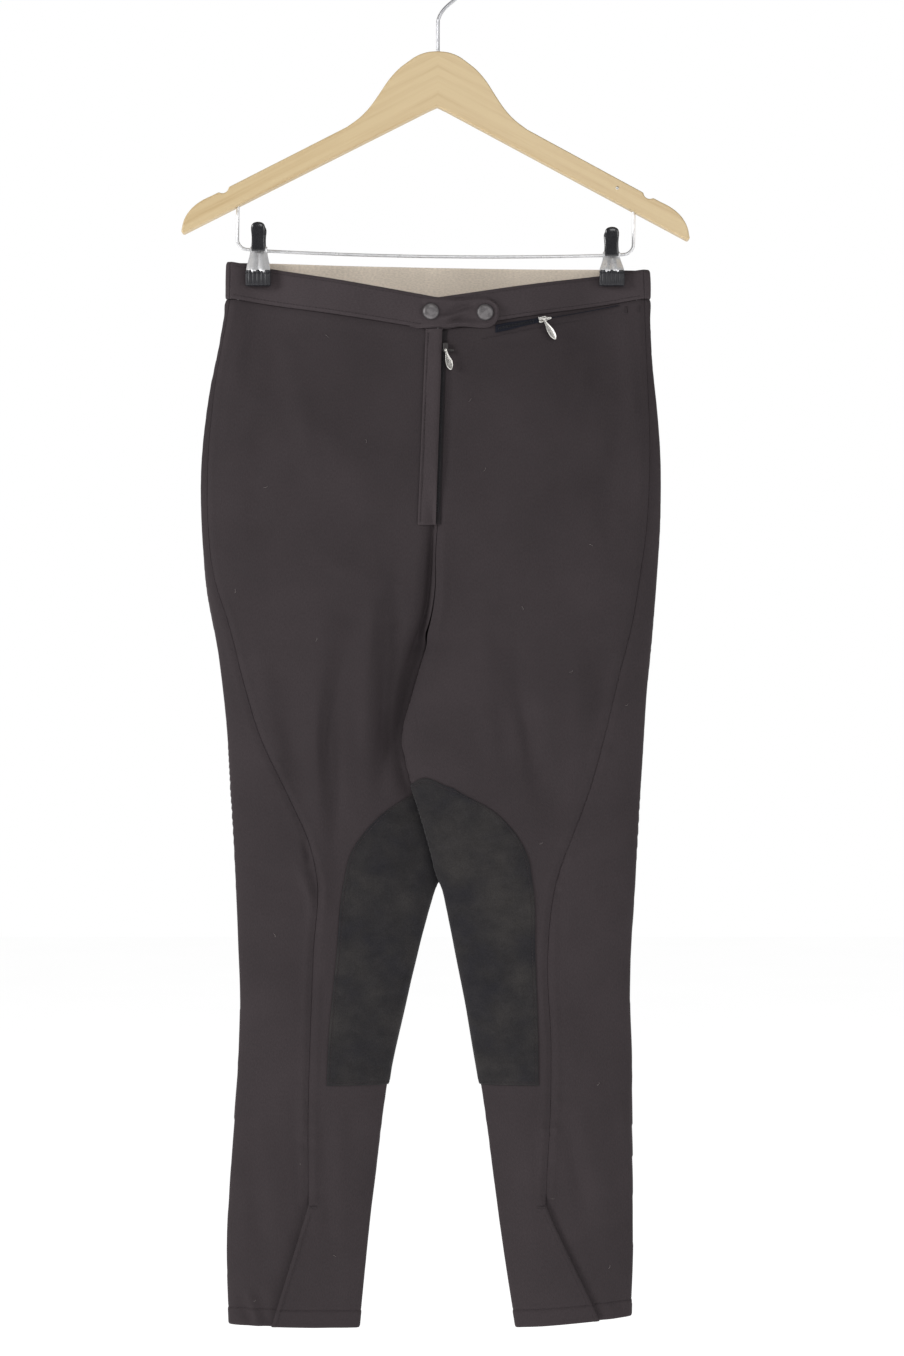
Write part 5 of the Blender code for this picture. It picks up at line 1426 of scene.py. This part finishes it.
@dataclass
class Zips:
    """The fly and pocket zips: tapes, teeth, sliders and their leaf pulls."""

    drape: Drape
    finishes: Finishes
    fastening: Fastening
    tape: float = 0.8
    fly_tape_in: float = 1.5
    fly_tape_out: float = 4.2
    pocket_start: tuple[float, float] = (50.0, -332.56)
    pocket_end: tuple[float, float] = (158.0, -309.69)
    pocket_width: float = 4.4
    hollow: tuple[float, float] = (92.0, 110.0)
    slit: tuple[float, float] = (98.0, 84.0)
    hollow_lift: float = 0.75
    tooth: Rows = ((0.0, 0.27, 0.62), (0.62, 0.19, 0.5))
    tooth_pitch: float = 1.3
    slider_length: float = 8.0
    slider_width: float = 5.2
    slider_thick: float = 1.8
    pin_radius: float = 0.45
    pin_height: float = 4.6
    fly_pin_drop: float = 2.4
    cheek: float = 0.8
    cheek_length: float = 1.8
    fly_cheek_gap: float = 2.9
    pocket_cheek_gap: float = 5.2
    eye_radius: float = 1.25
    eye_hole: float = 0.8
    eye_width: float = 2.3
    leaf_length: float = 18.0
    leaf_width: float = 6.0
    leaf_thick: float = 1.0
    leaf_lean: float = 6.0
    leaf: Rows = (  # share of the length, of the width and of the thickness
        (0.045, 0.28, 0.9), (0.1, 0.33, 0.95), (0.16, 0.36, 1.0), (0.24, 0.46, 1.1), (0.32, 0.6, 1.2),
        (0.42, 0.8, 1.35), (0.52, 0.94, 1.4), (0.62, 1.0, 1.4), (0.72, 0.99, 1.35), (0.82, 0.88, 1.2),
        (0.9, 0.68, 1.0), (0.96, 0.44, 0.8), (0.99, 0.24, 0.5), (1.0, 0.05, 0.1),
    )
    fly_slider: tuple[float, float] = (6.8, -349.0)
    fly_slant: float = 15.0
    pocket_slider_x: float = 90.5
    pocket_slant: float = 33.0
    pocket_stretch: float = 1.15

    def pocket_z(self, x: Array) -> Array:
        """Height of the pocket zip's middle line at x."""
        share = (x - self.pocket_start[0]) / (self.pocket_end[0] - self.pocket_start[0])
        return self.pocket_start[1] + (self.pocket_end[1] - self.pocket_start[1]) * share

    def pocket_lift(self, x: Array) -> Array:
        """How far the pocket tape's face stands out."""
        return SEAT_GAP + self.tape + self.hollow_lift * smooth_step(*self.hollow, x)

    def fly_line(self, down: Array) -> Grids:
        """The fly zip's middle line, x and z, at shares of its length."""
        _, right, z = self.fastening.placket_edges(down)
        return right + (self.fly_tape_out - self.fly_tape_in) / 2, z - 1.0 + 2.0 * down

    def build_tapes(self) -> None:
        """Both tapes."""
        middle, z = self.fly_line(np.linspace(0.0, 1.0, 90)[:, None])
        half, seat = (self.fly_tape_in + self.fly_tape_out) / 2, ("front_cloth_right",)
        x = middle + np.linspace(-half, half, 12)[None, :]
        wall = self.tape - 0.3 * bump_at(np.abs(x - middle) - half, 0.5)
        # The fly tape's dark finish is painted shadow for the shade beside the placket.
        cut = Cut(self.finishes.dark_tape, "zip_tape", "fly_zip_tape", (0.01, 0.169), seat, 0.00097)
        cut.sheet("fly_tape_cloth", self.drape.patch(x, z, SEAT_GAP + wall, wall), x, z)
        x = np.linspace(self.pocket_start[0], self.pocket_end[0], 80)[:, None]
        half = self.pocket_width / 2 * (0.14 + 0.86 * smooth_step(*self.slit, x)) + 1.2 * smooth_step(82.0, 58.0, x)
        z = self.pocket_z(x) + half * np.linspace(1.0, -1.0, 10)[None, :]
        cut = Cut(self.finishes.tape, "zip_tape", "pocket_zip_tape", (0.01, 0.11), seat, 0.00033)
        cut.sheet("pocket_tape_cloth", self.drape.patch(x, z, self.pocket_lift(x), self.tape), z, x)

    def run_of(self, x: Array, z: Array, lift: Array) -> Grids:
        """Places, directions along and out, for teeth or stitches on the front."""
        outer, inner = self.drape.patch(x, z, lift, 1.0)
        return outer, unit(np.gradient(outer, axis=0)), outer - inner

    def build_teeth(self) -> None:
        """Two rows of small teeth on each tape, as one piece."""
        share = np.arange(12.0, 158.0, self.tooth_pitch) / 168.0
        x = np.arange(self.pocket_start[0] + 3, self.slit[1], self.tooth_pitch)
        fly = self.run_of(*self.fly_line(share), SEAT_GAP + self.tape)
        pocket, runs = self.run_of(x, self.pocket_z(x), self.pocket_lift(x)), []
        for places, along, out in (fly, pocket):
            for sign in (-1, 1):
                runs.append((places + along * (0.32 * sign) + np.cross(out, along) * (0.55 * sign), along, out))
        tooth = drawn_shape(self.tooth)[:, [1, 2, 0]]
        place_piece(repeated("zip_teeth", tooth, runs, self.finishes.rubber), "zip_tape")

    def build_slider(self, name: str, place: Matrix, width: float, length: float, gap: float, drop: float) -> None:
        """A slider body: a waisted shell with two cheeks that carry the pull's pin.

        Args:
            name: The solid's name.
            place: The slider's frame on the cloth.
            width: Its size across.
            length: Its size along local Z.
            gap: The room between its cheeks.
            drop: How far the pin lies below its middle.
        """
        share = np.linspace(-1, 1, 11)
        half = width / 2 * (0.86 + 0.14 * share**2) * np.sqrt(np.clip(1 - (np.abs(share) / 1.06) ** 10, 0.1, 1))
        right = np.column_stack([half, share * length / 2])
        # The fly slider takes the darkened metal, which is painted shade; the pocket slider is plain nickel.
        metal = self.finishes.dark_metal if name == "fly_slider" else self.finishes.nickel
        plate = prism(f"{name}_shell", np.vstack([right, right[::-1] * (-1, 1)]), self.slider_thick, 0.45, metal, 3)
        parts = [settle(plate, moved(0, -self.slider_thick / 2, 0))]
        foot, reach = self.slider_thick / 2, self.pin_height + self.pin_radius + 0.4
        rounded = [
            (self.cheek_length / 2 * math.cos(a), reach - 0.9 + 0.9 * math.sin(a)) for a in np.linspace(0, math.pi, 9)
        ]
        outline = np.array([*rounded, (-self.cheek_length * 0.8, foot), (self.cheek_length * 0.8, foot)])
        for sign in (-1, 1):
            beside = moved(sign * (gap + self.cheek) / 2, 0, -drop)
            upright = beside @ turned(90, "Z") @ turned(90, "X") @ turned(90, "Z")
            parts.append(settle(prism(f"{name}_cheek", outline, self.cheek, 0.2, metal, 2), upright))
        end = gap / 2 + self.cheek * 0.9
        pin = wire(f"{name}_pin", np.array([(x, 0.0) for x in (-end, 0, end)]), self.pin_radius, metal)
        parts.append(settle(pin, moved(0, -self.pin_height, -drop)))
        place_piece(settle(join(f"{name}_metal", *parts), place), "zip_metal", name)

    def build_pull(self, name: str, body: str, place: Matrix, slant: float, stretch: float, drop: float) -> None:
        """A cast leaf on an eye round the pin, slender at its neck and full below.

        Args:
            name: The solid's name.
            body: The moving body that it rides.
            place: The slider's frame.
            slant: How far it hangs to the side, in degrees.
            stretch: Its length against the plain leaf.
            drop: How far the pin lies below the slider's middle.
        """
        size = np.array((-self.leaf_length * stretch, self.leaf_width / 2, self.leaf_thick / 2))
        sections = rings(28, 0.85, [(wide, deep, down) for down, wide, deep in np.array(self.leaf) * size])
        leaf = loft(f"{name}_leaf", sections, self.finishes.nickel)
        settle(leaf, turned(self.leaf_lean, "X") @ turned(-slant, "Y"))
        made = join(f"{name}_leaf_metal", leaf, self.eye(f"{name}_eye"))
        settle(made, place @ moved(0, -self.pin_height, -drop))
        place_piece(made, "zip_metal", name, body=body)

    def eye(self, name: str) -> Piece:
        """The pull's eye: a ring drawn out along the pin."""
        select()
        wall = (self.eye_radius - self.eye_hole) / 2
        bpy.ops.mesh.primitive_torus_add(
            major_radius=(self.eye_hole + wall) * MM, minor_radius=wall * MM, major_segments=28, minor_segments=10
        )
        made = bpy.context.object
        bpy.ops.object.mode_set(mode="EDIT")
        bpy.ops.mesh.select_all(action="SELECT")
        bpy.ops.transform.resize(value=(1, 1, self.eye_width / 2 / wall))
        bpy.ops.transform.rotate(value=math.radians(90), orient_axis="Y", center_override=(0, 0, 0))
        bpy.ops.object.mode_set(mode="OBJECT")
        made.name = name
        made.data.materials.append(self.finishes.nickel)
        smooth_by_angle(made, 60)
        return made

    def build(self) -> None:
        """Makes the tapes, the teeth, the sliders and the pulls."""
        self.build_tapes()
        self.build_teeth()
        lift, start, end = SEAT_GAP + self.tape + SEAM_GAP, self.pocket_start, self.pocket_end
        place, drop = self.drape.frame_at(*self.fly_slider, lift), self.fly_pin_drop
        self.build_slider("fly_slider", place, self.slider_width, self.slider_length, self.fly_cheek_gap, drop)
        self.build_pull("fly_pull", "fly_tab", place, self.fly_slant, 1.0, drop)
        slope = math.atan2(end[1] - start[1], end[0] - start[0])
        place = self.drape.frame_at(self.pocket_slider_x, float(self.pocket_z(self.pocket_slider_x)), lift, slope)
        self.build_slider("pocket_slider", place, self.slider_length, self.slider_width, self.pocket_cheek_gap, 0.0)
        slant = self.pocket_slant - math.degrees(slope)
        self.build_pull("pocket_pull", "pocket_tab", place, slant, self.pocket_stretch, 0.0)


@dataclass
class Trim:
    """Topstitching, bartacks and the lint that clings to the cloth."""

    drape: Drape
    finishes: Finishes
    panels: LegPanels
    band: Waistband
    patches: KneePatches
    fastening: Fastening
    zips: Zips
    stitch: Rows = ((-1.15, 0.1, 0.1), (-0.8, 0.2, 0.2), (0.0, 0.24, 0.26), (0.8, 0.2, 0.2), (1.15, 0.1, 0.1))
    pitch: float = 3.0
    tack_pitch: float = 0.42
    tacks: Rows = (  # x and z of both ends
        (164.8, -311.0, 164.8, -316.5), (175.6, -310.6, 175.6, -316.0),
        (-16.0, -499.5, -9.5, -501.5), (53.0, -328.6, 53.0, -334.6),
    )
    lint: Rows = (  # x, z, and degrees turned
        (115.6, -630.5, 20), (-105.1, -602.5, 70), (-96.4, -338.0, 140), (164.7, -659.5, 35), (-150.0, -470.0, 10),
        (-62.0, -430.0, 100), (41.0, -455.0, 60), (133.0, -520.0, 160), (-30.0, -690.0, 80), (90.0, -780.0, 30),
        (-142.0, -860.0, 120), (-70.0, -905.0, 15), (66.0, -930.0, 75), (140.0, -990.0, 50), (-120.0, -1060.0, 95),
        (-90.0, -1140.0, 150), (100.0, -1090.0, 5), (150.0, -1150.0, 65), (-160.0, -1180.0, 40), (-52.0, -832.0, 130),
        (24.0, -856.0, 25), (-176.0, -560.0, 85), (74.0, -575.0, 110), (28.0, -395.0, 45),
    )

    def sewn_runs(self) -> list[Grids]:
        """The lines of stitches on the panels, the band and the patches."""
        form, lines = self.drape.form, []
        for (_, face), sheet in self.panels.sewn.items():
            across = np.linspace(3, sheet.arcs[-12, -1] - 3, 90)
            lines.append((sheet, form.hem + self.panels.hem_depth, across))
            if face == Face.FRONT:
                lines.append((sheet, np.linspace(form.flap_top - 8, form.hem + 1, 60), -4.0))
        for sheet in self.band.sewn:
            for z in (form.waist_top - 3.0, form.waist_seam + 3.2):
                lines.append((sheet, z, np.linspace(2, sheet.arcs[0, -1] - 2, 120)))
        for sheet in self.patches.sewn:
            z = np.linspace(sheet.z[0] - 2.6, sheet.z[-1] + 2.6, 80)
            lines += [(sheet, z, 2.6), (sheet, z, -2.6)]
            for end in (z[0], z[-1]):
                width = sheet.arcs[np.abs(sheet.z - end).argmin(), -1]
                lines.append((sheet, end, np.linspace(2.6, width - 2.6, 60)))
        return [paced(*sheet.line(z, arc), self.pitch) for sheet, z, arc in lines]

    def flat_runs(self) -> list[Grids]:
        """The lines of stitches on the placket and under the pocket zip, and the dense bartacks."""
        left, _, z = self.fastening.placket_edges(np.linspace(0.02, 0.985, 60))
        x, runs = np.linspace(38.0, 165.0, 70), []
        lift = SEAT_GAP + self.fastening.placket_wall + 0.1
        for line in ((left + 2.2, z, lift), (x, self.zips.pocket_z(x) - 6.6, 0.2)):
            points, _, outs = self.zips.run_of(*line)
            runs.append(paced(points, outs, self.pitch))
        for x_from, z_from, x_to, z_to in self.tacks:
            points, _, outs = self.zips.run_of(np.linspace(x_from, x_to, 8), np.linspace(z_from, z_to, 8), 0.7)
            places, along, out = paced(points, outs, self.tack_pitch)
            runs.append((places, np.cross(out, along), out))
        for side in Side:
            line = self.panels.sewn[side, Face.FRONT].line(self.drape.form.flap_top - 1.0, np.linspace(-7.5, -1.0, 8))
            places, along, out = paced(*line, self.tack_pitch)
            runs.append((places + out * 0.25, np.cross(out, along), out))
        return runs

    def build(self) -> None:
        """Makes the stitches and the lint."""
        shape = drawn_shape(self.stitch)
        place_piece(repeated("topstitching", shape, self.sewn_runs(), self.finishes.thread), "cloth")
        place_piece(repeated("placket_and_tacks", shape, self.flat_runs(), self.finishes.thread), "cloth")
        fibre = drawn_shape(tuple((x, 0.07, 0.07) for x in np.linspace(-1.7, 1.7, 7)))
        fibre[:, 1] += 0.5 * (fibre[:, 0] / 1.7) ** 2
        fibre[:, 2] += 0.25 * np.cos(fibre[:, 0] * 2.4)
        x, z, angle = np.array(self.lint).T
        outer, inner = self.drape.patch(x, z, np.full(len(x), 0.55), 1.0)
        out, angle = outer - inner, np.radians(angle)
        along = np.column_stack([np.cos(angle), np.zeros(len(x)), np.sin(angle)])
        along = unit(along - out * (along * out).sum(axis=-1, keepdims=True))
        place_piece(repeated("lint", fibre, [(outer, along, out)], self.finishes.lint), "cloth")


# ---- hanger ------------------------------------------------------------------------------------------------


@dataclass
class Hanger:
    """The wooden arms, the wire hook and the bar, a little lower on the right."""

    finishes: Finishes
    tilt: float = 0.77
    neck: float = -87.5
    thickness: float = 12.0
    rounding: float = 2.4
    half_span: float = 222.5
    apex: float = -134.5
    underside_slope: float = 0.524
    crown: Rows = (
        (0.0, -87.5), (9.0, -88.4), (18.0, -91.6), (26.0, -97.0), (34.5, -103.8), (43.0, -113.6),
        (51.0, -125.8), (59.0, -137.3), (68.0, -146.8), (79.0, -155.0),
    )
    arm_end: tuple[float, float] = (196.0, -216.5)
    tip: Rows = ((204.0, -220.4), (211.0, -225.4), (216.5, -231.4), (220.5, -239.0), (222.5, -248.6))
    notch: tuple[float, float, float] = (187.0, -208.6, 5.6)
    nail: tuple[float, float] = (156.8, -207.4)
    nail_head: Rows = ((1.5, -0.4), (1.5, 0.12), (1.3, 0.4), (0.8, 0.62), (0.1, 0.7))
    hook_radius: float = 24.0
    wire_radius: float = 1.5
    hook_turn: tuple[float, float] = (-54.0, 200.0)
    stem_top: float = -62.0
    stem_depth: float = 14.0
    stem_clearance: float = 0.7
    bar_radius: float = 1.4
    bar_span: float = 173.5
    bar_corner: float = 9.0
    bar_sag: float = 4.0
    bar_top: float = -219.5
    bar_height: float = -262.6

    def tilted(self) -> Matrix:
        """The hanger's tilt about the top of its wood."""
        return moved(0, 0, self.neck) @ turned(self.tilt, "Y") @ moved(0, 0, -self.neck)

    def notch_arc(self) -> Array:
        """The shoulder notch's arc in the arm's upper edge."""
        start, end = np.array(self.crown[-1]), np.array(self.arm_end)
        along = unit(end - start)
        out = np.array((-along[1], along[0]))
        centre, radius = np.array(self.notch[:2]), self.notch[2]
        reach = math.acos((centre - start) @ out / radius)
        angles = np.linspace(-reach, reach, 11)
        return centre + radius * (np.outer(np.sin(angles), along) - np.outer(np.cos(angles), out))

    def build_arms(self) -> None:
        """The two arms as one sawn and rounded piece, with its bores and a nail."""
        foot = (self.half_span - 2.0, self.apex - self.underside_slope * (self.half_span - 2.0))
        crown, tip = smooth_route(self.crown, 3), smooth_route((self.arm_end, *self.tip), 3)
        right = np.vstack([crown, self.notch_arc(), tip, [foot]])
        apex = np.array([(7.0, self.apex - 4.4), (0.0, self.apex - 1.2), (-7.0, self.apex - 4.4)])
        outline = np.vstack([right, apex, (right[::-1] * (-1, 1))[:-1]])
        arms = prism("wooden_arms", outline, self.thickness, self.rounding, self.finishes.wood, 5)
        finish_with(arms, "WEIGHTED_NORMAL", keep_sharp=True)
        depth = self.bar_top - self.bar_height
        for sign in (-1, 1):
            bore(arms, self.bar_radius + 0.5, depth, (sign * self.bar_span, 0, self.bar_top + SEAM_GAP - depth / 2))
        bore(arms, self.wire_radius + self.stem_clearance, self.stem_depth * 2 + 1.0, (0, 0, self.neck))
        place_piece(settle(arms, self.tilted()), "hanger_wood", "hanger_arms")
        head = rings(20, 1.0, [(r, -r, proud) for r, proud in self.nail_head])
        seat = moved(self.nail[0], -self.thickness / 2, self.nail[1]) @ turned(90, "X")
        place_piece(settle(loft("arm_nail", head, self.finishes.nickel), seat), "hanger_wire")

    def build_hook(self) -> None:
        """The wire hook, bent over from its stem."""
        centre = -(self.hook_radius - self.wire_radius)
        angles = np.radians(np.linspace(*self.hook_turn, 22))
        ring = np.column_stack([self.hook_radius * np.cos(angles), centre + self.hook_radius * np.sin(angles)])
        stem = [(0.0, self.neck - self.stem_depth), (0.0, self.neck), (0.0, self.stem_top), (0.6, self.stem_top + 4.0)]
        bend = [
            (ring[0][0] * share, self.stem_top + (ring[0][1] - self.stem_top) * rise)
            for share, rise in ((0.18, 0.42), (0.5, 0.7))
        ]
        route = smooth_route((*stem, *bend, *map(tuple, ring)), 3)
        place_piece(wire("wire_hook", route, self.wire_radius, self.finishes.wire, 20), "hanger_wire", "hanger_hook")

    def sagging(self, x: float) -> float:
        """Height of the bar's middle line at x, before the tilt."""
        return self.bar_height - self.bar_sag * (1 - (x / self.bar_span) ** 2)

    def bar_level(self, x: float) -> float:
        """Height of the tilted bar's middle line at x."""
        return self.sagging(x) - math.sin(math.radians(self.tilt)) * x

    def build_bar(self) -> None:
        """The sagging bar, whose bent ends stand in the arms."""
        inset = self.bar_span - self.bar_corner
        corner = [
            (inset + self.bar_corner * math.cos(a), self.bar_height + self.bar_corner * (1 + math.sin(a)))
            for a in np.linspace(0.0, -math.pi / 2, 9)
        ]
        run = [(x, self.sagging(x)) for x in np.arange(150.0, -1, -25)]
        half = np.array([(self.bar_span, self.bar_top), (self.bar_span, -240.0), *corner, *run])
        route = np.vstack([half, (half[::-1] * (-1, 1))[1:]])
        bar = wire("clip_bar", route, self.bar_radius, self.finishes.strap, 18)
        place_piece(settle(bar, self.tilted()), "hanger_wire", "trouser_bar")

    def build(self) -> None:
        """Makes the arms, the hook and the bar."""
        self.build_arms()
        self.build_hook()
        self.build_bar()


@dataclass
class Clip:
    """A clip: a ribbed spring steel strap over the bar, coated grips above it and ribbed jaws on the cloth."""

    side: Side
    hanger: Hanger
    finishes: Finishes
    x: float
    seat_front: float = 5.1
    seat_back: float = 6.5
    jaw_top: float = -279.6
    jaw_height: float = 13.7
    jaw_thick: float = 4.4
    jaw_half: float = 10.9
    jaw_ribs: int = 6
    strap_wall: float = 1.3
    hub_inside: float = 2.4
    bar_play: float = 0.85
    hub_half: float = 7.3
    foot_half: float = 10.4
    grip_height: float = 25.5
    grip_drop: float = 1.5
    grip_thick: float = 4.2
    grip_lean: float = 9.0
    grip_form: Rows = (  # half width, half depth and share of the height
        (5.4, 1.7, 0.0), (5.9, 2.0, 0.02), (6.15, 2.1, 0.08), (6.0, 2.05, 0.2), (5.75, 2.0, 0.34), (5.7, 2.05, 0.48),
        (5.9, 2.2, 0.6), (6.2, 2.35, 0.72), (6.2, 2.35, 0.82), (5.7, 2.2, 0.89), (4.8, 1.9, 0.94), (3.4, 1.4, 0.975),
        (1.9, 0.8, 0.993), (0.4, 0.15, 1.0),
    )

    def build_strap(self) -> None:
        """The strap, drawn over the bar from the front jaw to the back one, with two pressed ribs."""
        level = self.hanger.bar_level(self.x)
        hub, roof = level - 2.0, level + self.hanger.bar_radius + self.bar_play
        side, half = self.hub_inside + self.strap_wall / 2, []
        for sign, seat in ((-1, self.seat_front), (1, self.seat_back)):
            foot = sign * (seat + self.jaw_thick + SEAM_GAP + self.strap_wall / 2)
            upper = [(sign * (side + 1.1), hub - 2.2), (sign * side, hub + 1.2), (sign * side * 0.86, roof - 0.2)]
            half.append([(foot, self.jaw_top - 2.0), (foot, self.jaw_top + 0.6), *upper])
        route = smooth_route((*half[0], (0.0, roof + self.strap_wall * 0.6), *half[1][::-1]), 6)
        u = np.linspace(-1.0, 1.0, 33)
        rib = 1.1 * bump_at(np.abs(u) - 0.38, 0.2) - 0.9 * bump_at(u, 0.08) - 1.3 * smooth_step(0.66, 1.0, np.abs(u))
        sections = []
        for (y, z), (ty, tz) in zip(route, unit(np.gradient(route, axis=0))):
            down = smooth_step(hub + 1.0, self.jaw_top, z)
            wide = self.hub_half + (self.foot_half - self.hub_half) * down
            proud = self.strap_wall / 2 + rib * (0.35 + 0.65 * down)
            offset = np.concatenate([proud, (proud - self.strap_wall)[::-1]])
            across = self.x + np.concatenate([u, u[::-1]]) * wide
            sections.append(np.column_stack([across, y - tz * offset, z + ty * offset]))
        made = loft(f"clip_{self.side.word}_strap", sections, self.finishes.strap)
        place_piece(made, "hanger_wire", f"clip_{self.side.word}_body")

    def jaw(self, sign: int, seat: float) -> Piece:
        """A coated jaw with upright ribs and a line below its top, which covers the strap's foot."""
        depth, height = self.jaw_thick + SEAM_GAP + self.strap_wall + 1.2, self.jaw_height
        u, back = np.linspace(-1.0, 1.0, 73), np.linspace(1.0, -1.0, 17)
        ribs = 0.32 * np.cos(u * math.pi * self.jaw_ribs) * (np.abs(u) < 0.92) - 1.3 * np.abs(u) ** 10
        stations = (
            (0.0, 0.9, -1.2), (0.3, 0.96, -0.5), (0.9, 1.0, 0.0), (2.4, 1.0, 0.0), (2.7, 0.99, -0.55),
            (3.2, 0.99, -0.55), (3.5, 1.0, 0.0), (height * 0.6, 1.0, 0.15), (height - 0.9, 1.0, 0.0),
            (height - 0.3, 0.97, -0.5), (height, 0.92, -1.2),
        )
        sections = []
        for fall, wide, proud in stations:
            inner = seat + 0.5 * np.abs(back) ** 6 + max(-proud - 0.6, 0.0)
            y = sign * np.concatenate([seat + depth + proud + ribs, inner])
            x = self.x + self.jaw_half * wide * np.concatenate([u, back * 0.985])
            sections.append(np.column_stack([x, y, np.full(len(x), self.jaw_top - fall)]))
        return loft("jaw", sections, self.finishes.rubber)

    def grip(self, sign: int) -> Piece:
        """A dipped grip with a round bulb, a slight waist and a flare where the bar passes behind it."""
        sections = rings(36, 0.75, [(half, deep, share * self.grip_height) for half, deep, share in self.grip_form])
        clear = self.hub_inside + self.strap_wall + 0.6 + SEAM_GAP + self.grip_thick / 2
        root = moved(self.x, sign * clear, self.hanger.bar_level(self.x) - self.grip_drop)
        return settle(loft("grip", sections, self.finishes.coating), root @ turned(-sign * self.grip_lean, "X"))

    def build(self) -> None:
        """Makes the strap, then both jaws and both grips as pairs."""
        self.build_strap()
        clip = f"clip_{self.side.word}"
        jaws = join(f"{clip}_pads", self.jaw(-1, self.seat_front), self.jaw(1, self.seat_back))
        place_piece(jaws, "clip_coating", f"{clip}_pad_front", f"{clip}_pad_back")
        grips = join(f"{clip}_grips", self.grip(-1), self.grip(1))
        place_piece(grips, "clip_coating", f"{clip}_grip_front", f"{clip}_grip_back")


# ---- studio ------------------------------------------------------------------------------------------------


@dataclass
class Studio:
    """A pale floor, soft lights and the level camera of the photograph."""

    floor_height: float = -1.45
    floor_side: float = 9.0
    white: float = 1.0
    room_light: float = 0.2
    camera_place: tuple[float, float, float] = (0.0123, -2.7, -0.6358)
    lens: float = 81.8
    lights: tuple = (
        ("key", (-2.3, -1.1, 0.3), 0.8, 36.0),
        ("fill", (2.2, -1.6, -0.1), 1.4, 15.0),
        ("front", (0.5, -2.9, 0.6), 1.2, 15.0),
    )
    aim: tuple[float, float, float] = (0.0, 0.0, -0.65)

    def add(self, name: str, kind: object, place: tuple) -> Piece:
        """Puts a lamp or a camera at its place in the scene."""
        made = bpy.data.objects.new(name, kind)
        made.location = place
        bpy.context.scene.collection.objects.link(made)
        return made

    def build_floor(self) -> None:
        """A pale floor that gives a little light from below."""
        select()
        place = (0, self.floor_side / 2 - 2.0, self.floor_height)
        bpy.ops.mesh.primitive_plane_add(size=self.floor_side, location=place)
        floor = bpy.context.object
        floor.name = "pale_floor"
        graph, finish, shader = start_material("pale_floor")
        tone = graph.ramp(graph.noise(graph.place(), 3.0), ((0.3, (0.86, 0.86, 0.86)), (0.7, (0.9, 0.9, 0.9))))
        inputs = {"Base Color": tone, "Roughness": 0.9, "Emission Color": (1, 1, 1, 1), "Emission Strength": 0.8}
        graph.feed(shader, inputs)
        floor.data.materials.append(finish)

    def build_world(self) -> None:
        """A white surround for the eye, and a dimmer one as light."""
        world = bpy.data.worlds.new("studio")
        world.use_nodes = True
        bpy.context.scene.world = world
        graph = Graph(world.node_tree)
        seen = graph.add("ShaderNodeLightPath").outputs["Is Camera Ray"]
        inputs = {"Value": seen, "To Min": self.room_light, "To Max": self.white}
        strength = graph.add("ShaderNodeMapRange", inputs).outputs[0]
        graph.feed(world.node_tree.nodes["Background"], {"Strength": strength, "Color": (1, 1, 1, 1)})

    def build(self) -> None:
        """Makes the floor, the lights, the world and the camera."""
        self.build_floor()
        for name, place, size, power in self.lights:
            lamp = bpy.data.lights.new(name, "AREA")
            lamp.size, lamp.energy = size, power
            aimed = (Vector(self.aim) - Vector(place)).to_track_quat("-Z", "Y").to_euler()
            self.add(name, lamp, place).rotation_euler = aimed
        self.build_world()
        lens = bpy.data.cameras.new("photograph")
        lens.lens, lens.sensor_width = self.lens, 36.0
        camera = self.add("photograph", lens, self.camera_place)
        camera.rotation_euler = (math.radians(90), 0, 0)
        bpy.context.scene.camera = camera
        bpy.context.scene.view_settings.view_transform = "Standard"


def main() -> None:
    """Builds every sub-assembly on the frame, then the studio."""
    logging.basicConfig(level=logging.INFO, format="%(message)s")
    finishes, drape = Finishes(), Drape()
    panels, band = LegPanels(drape, finishes), Waistband(drape, finishes)
    patches, fastening = KneePatches(drape, finishes), Fastening(drape, finishes)
    zips = Zips(drape, finishes, fastening)
    trim = Trim(drape, finishes, panels, band, patches, fastening, zips)
    hanger = Hanger(finishes)
    clips = [Clip(Side.LEFT, hanger, finishes, -157.0), Clip(Side.RIGHT, hanger, finishes, 152.0)]
    for part in (panels, band, patches, fastening, zips, trim, hanger, *clips, Studio()):
        part.build()
        LOG.info("built %s", type(part).__name__)


if __name__ == "__main__":
    main()
